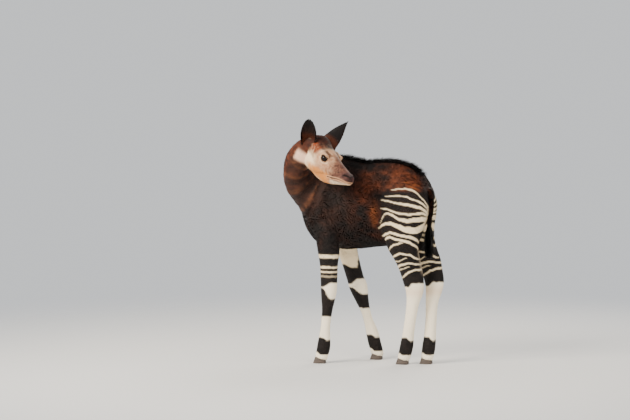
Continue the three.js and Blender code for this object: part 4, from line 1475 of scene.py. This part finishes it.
def ear_hair(name, label):
    """Short hair on both faces of an ear and longer hair along its rims."""
    ear = EARS[name]
    root, along, opening = (ear[key] for key in ("root", "along", "opening"))
    roots, normals, _ = surface.draw(EAR_TUFTS, surface.labels == label)
    reach = (roots - root) @ along / ear["length"]
    column = np.clip((roots - root) @ unit(np.cross(opening, along)) / ear["half_width"], -1, 1)
    inner = (normals @ opening > 0).astype(float)
    colours = ear_colour(np.stack([reach, column, inner], -1))
    uv = in_patch_margin(0.25 + 0.22 * column + 0.5 * inner, np.clip(reach, 0.01, 0.99))
    make_tufts(f"coat_{name}", roots, normals, np.tile(along, (len(roots), 1)), colours,
               mix(7.0, 10.0, inner), EAR_HAIR_WIDTH, SHORT_LIFT, uv)
    t = rng.uniform(0.08, 0.93, RIM_TUFTS)
    edge = np.where(rng.random(RIM_TUFTS) < 0.5, -1.0, 1.0)
    inset = np.full(RIM_TUFTS, RIM_INSET)
    roots = ear_leaf(name, t, edge * 0.95, inset)
    inward = ear_leaf(name, t, edge * 0.5, inset) - roots
    rim = ear_colour(np.stack([t, edge, np.ones(RIM_TUFTS)], -1))
    make_tufts(f"coat_{name}_rim", roots, unit(-inward * 0.4 + 20 * opening), 25 * along + inward,
               painted(rim, (RED_BROWN, 0.5 * smoothstep(t, 0.6, 0.2))), mix(14.0, 6.0, t), RIM_WIDTH,
               SHORT_LIFT, in_patch_margin(0.75 + 0.2 * edge, t), 0.3)


def tail_tuft():
    count = TAIL_TUFT_TUFTS
    t = rng.random(count) ** 0.8
    height = mix(TAIL_TUFT_TOP, TAIL_TUFT_ROOTS_END, t)
    path = tail_core.path[::-1]
    centre = np.stack([np.interp(height, path[:, 2], path[:, i]) for i in range(3)], -1)
    turn = rng.uniform(-np.pi, np.pi, count)
    out = np.stack([np.cos(turn), np.sin(turn), np.zeros(count)], -1)
    longest = (height - TAIL_TUFT_END) / 1.15
    length = np.minimum(mix(62, 48, t) * rng.uniform(0.8, 1.2, count), longest)
    uv = in_patch_margin(turn / (2 * np.pi) + 0.5, (height - 540) / 400)
    make_tufts("coat_tail_tuft", centre + out * 8, out, np.tile([0, 0, -1.0], (count, 1)),
               np.tile(BLACK, (count, 1)), length, TAIL_TUFT_WIDTH, TAIL_TUFT_LIFT, uv, 0.32)


dorsal_fringe()
ear_hair("ear_left", EAR_LEFT)
ear_hair("ear_right", EAR_RIGHT)
tail_tuft()


# Eyes and lashes
EYE_RINGS = 28
EYE_COLUMNS = 40
PUPIL_HALF_WIDTH = 8.5
PUPIL_HALF_HEIGHT = 4.5
LASHES = ((46, 1, 13.0), (26, -1, 6.0))  # number, upper (1) or lower (-1) lid, length


def eyeball(centre, corner, up, out):
    """Vertices and faces of a ball with its poles on the line out of the eye."""
    vertices = [centre + EYE_RADIUS * out]
    for ring in range(1, EYE_RINGS):
        angle = np.pi * ring / EYE_RINGS
        for column in range(EYE_COLUMNS):
            turn = 2 * np.pi * column / EYE_COLUMNS
            across = corner * np.cos(turn) + up * np.sin(turn)
            vertices.append(centre + EYE_RADIUS * (out * np.cos(angle) + across * np.sin(angle)))
    vertices.append(centre - EYE_RADIUS * out)
    last = len(vertices) - 1
    pairs = [(a, (a + 1) % EYE_COLUMNS) for a in range(EYE_COLUMNS)]
    faces = [[0, 1 + a, 1 + b] for a, b in pairs]
    for ring in range(EYE_RINGS - 2):
        first = 1 + ring * EYE_COLUMNS
        following = first + EYE_COLUMNS
        faces += [[first + a, following + a, following + b, first + b] for a, b in pairs]
    faces += [[last, last - EYE_COLUMNS + b, last - EYE_COLUMNS + a] for a, b in pairs]
    return np.array(vertices), faces


def make_eye(name, material):
    """An eyeball with a dark iris and a level pupil."""
    corner, up, out = eye_frame(name)
    vertices, faces = eyeball(EYES[name], corner, up, out)
    off = vertices - EYES[name]
    wide, high = off @ corner, off @ up
    pupil = smoothstep(np.hypot(wide / PUPIL_HALF_WIDTH, high / PUPIL_HALF_HEIGHT), 1.15, 0.85)
    edge = smoothstep(np.hypot(wide, high), 12.5, 15.0)
    colours = painted(IRIS, (PUPIL, np.maximum(pupil, edge)))
    eye = make_object(f"{name}_ball", vertices, faces, colours, material)
    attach(eye, "root")
    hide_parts(name)


def make_lashes(name):
    """Long lashes along the upper lid and short ones below."""
    centre = EYES[name]
    corner, up, out = eye_frame(name)
    rows = []
    for count, hand, length in LASHES:
        wide = rng.uniform(-0.92, 0.92, count) * EYE_OPENING_LENGTH
        high = EYE_OPENING_HEIGHT * (1 - (wide / EYE_OPENING_LENGTH) ** 2) ** 0.75
        high *= 1 if hand > 0 else LOWER_LID_SHARE
        high = 1.0 + 0.06 * wide + hand * (high + 0.8)
        deep = np.sqrt(np.maximum((EYE_RADIUS + 1.2) ** 2 - wide**2 - high**2, 4))
        roots = centre + wide[:, None] * corner + high[:, None] * up + deep[:, None] * out
        lie = hand * up + 0.35 * (wide / EYE_OPENING_LENGTH)[:, None] * corner
        rows.append((roots, np.tile(out, (count, 1)), lie, np.full(count, length)))
    roots, normals, lie, length = (np.concatenate(part) for part in zip(*rows))
    uv = np.clip(np.stack([rng.random(len(roots)), rng.random(len(roots))], -1), 0.01, 0.99)
    make_tufts(f"lashes_{name}", roots, normals, lie, np.tile(BLACK * 0.5, (len(roots), 1)),
               length, 0.7, 0.9, uv, -0.35)


eye_wet = eye_material()
for name in EYES:
    make_eye(name, eye_wet)
    make_lashes(name)

# Hooves: the solids' claws, rounded
CLAW_GRAIN = 0.0022  # metres
horn = horn_material()
for node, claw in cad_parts.items():
    if "claw" in node:
        claw.data.materials.clear()
        claw.data.materials.append(horn)
        remesh = claw.modifiers.new("fine", "REMESH")
        remesh.mode = "VOXEL"
        remesh.voxel_size = CLAW_GRAIN
        remesh.use_smooth_shade = True
        smooth = claw.modifiers.new("rounded", "SMOOTH")
        smooth.factor = 0.5
        smooth.iterations = 5


# Floor, light and camera
FLOOR_FADE_START = 1.0  # metres from the middle to where the floor begins to fade into the backdrop
FLOOR_FADE_END = 4.0
LIGHT_COLOUR = (1.0, 0.92, 0.8)
LIGHTS = {  # place in metres, height of the place it is turned to, width in metres, power in watts
    "key": ((-2.6, -4.2, 3.6), 0.8, 2.6, 540),
    "fill": ((4.0, -3.6, 2.2), 0.8, 3.0, 120),
    "back": ((1.0, 4.0, 3.4), 0.9, 3.0, 160),
}
SKY_COLOUR = (0.80, 0.82, 0.84, 1)
SKY_STRENGTH = 1.0


def make_floor():
    """A pale floor that fades out all round, so that no horizon shows."""
    material, shader = new_material("pale floor", {"Base Color": (0.72, 0.71, 0.69, 1), "Roughness": 0.8})
    place = add_node(material, "TexCoord")
    distance = add_node(material, "VectorMath", operation="LENGTH")
    fade = add_node(material, "MapRange", {"From Min": FLOOR_FADE_START, "From Max": FLOOR_FADE_END},
                    interpolation_type="SMOOTHSTEP")
    shown = add_node(material, "MixShader")
    wire(place, "Object", distance, 0)
    wire(distance, "Value", fade, "Value")
    wire(fade, "Result", shown, "Fac")
    wire(shader, "BSDF", shown, 1)
    wire(add_node(material, "BsdfTransparent"), "BSDF", shown, 2)
    wire(shown, "Shader", material.node_tree.nodes["Material Output"], "Surface")
    end = FLOOR_FADE_END
    mesh = bpy.data.meshes.new("floor")
    mesh.from_pydata([(-end, -end, 0), (end, -end, 0), (end, end, 0), (-end, end, 0)], [], [(0, 1, 2, 3)])
    mesh.materials.append(material)
    floor = in_scene("floor", mesh)


def area_light(name, place, target_height, size, power):
    light = bpy.data.lights.new(name, "AREA")
    light.size = size
    light.energy = power
    light.color = LIGHT_COLOUR
    lamp = in_scene(name, light)
    lamp.location = place
    direction = np.array([0, 0, target_height]) - np.array(place)
    lamp.rotation_euler = Vector(direction).to_track_quat("-Z", "Y").to_euler()


def make_world():
    world = bpy.data.worlds.new("studio")
    world.use_nodes = True
    background = world.node_tree.nodes["Background"]
    background.inputs["Color"].default_value = SKY_COLOUR
    background.inputs["Strength"].default_value = SKY_STRENGTH
    bpy.context.scene.world = world


def make_camera():
    view = math.radians(CAMERA_AZIMUTH)
    side, back = CAMERA_SIDE, -CAMERA_DISTANCE
    place = np.array([side * math.cos(view) - back * math.sin(view),
                      side * math.sin(view) + back * math.cos(view), CAMERA_HEIGHT])
    data = bpy.data.cameras.new("camera")
    data.sensor_width = SENSOR
    data.lens = FOCAL_PIXELS / PHOTO_WIDTH * SENSOR
    camera = in_scene("camera", data)
    camera.location = (place + OFFSET) * MM
    camera.rotation_euler = (math.radians(90 - CAMERA_TILT), 0, view)
    bpy.context.scene.camera = camera


make_floor()
for name, values in LIGHTS.items():
    area_light(name, *values)
make_world()
make_camera()
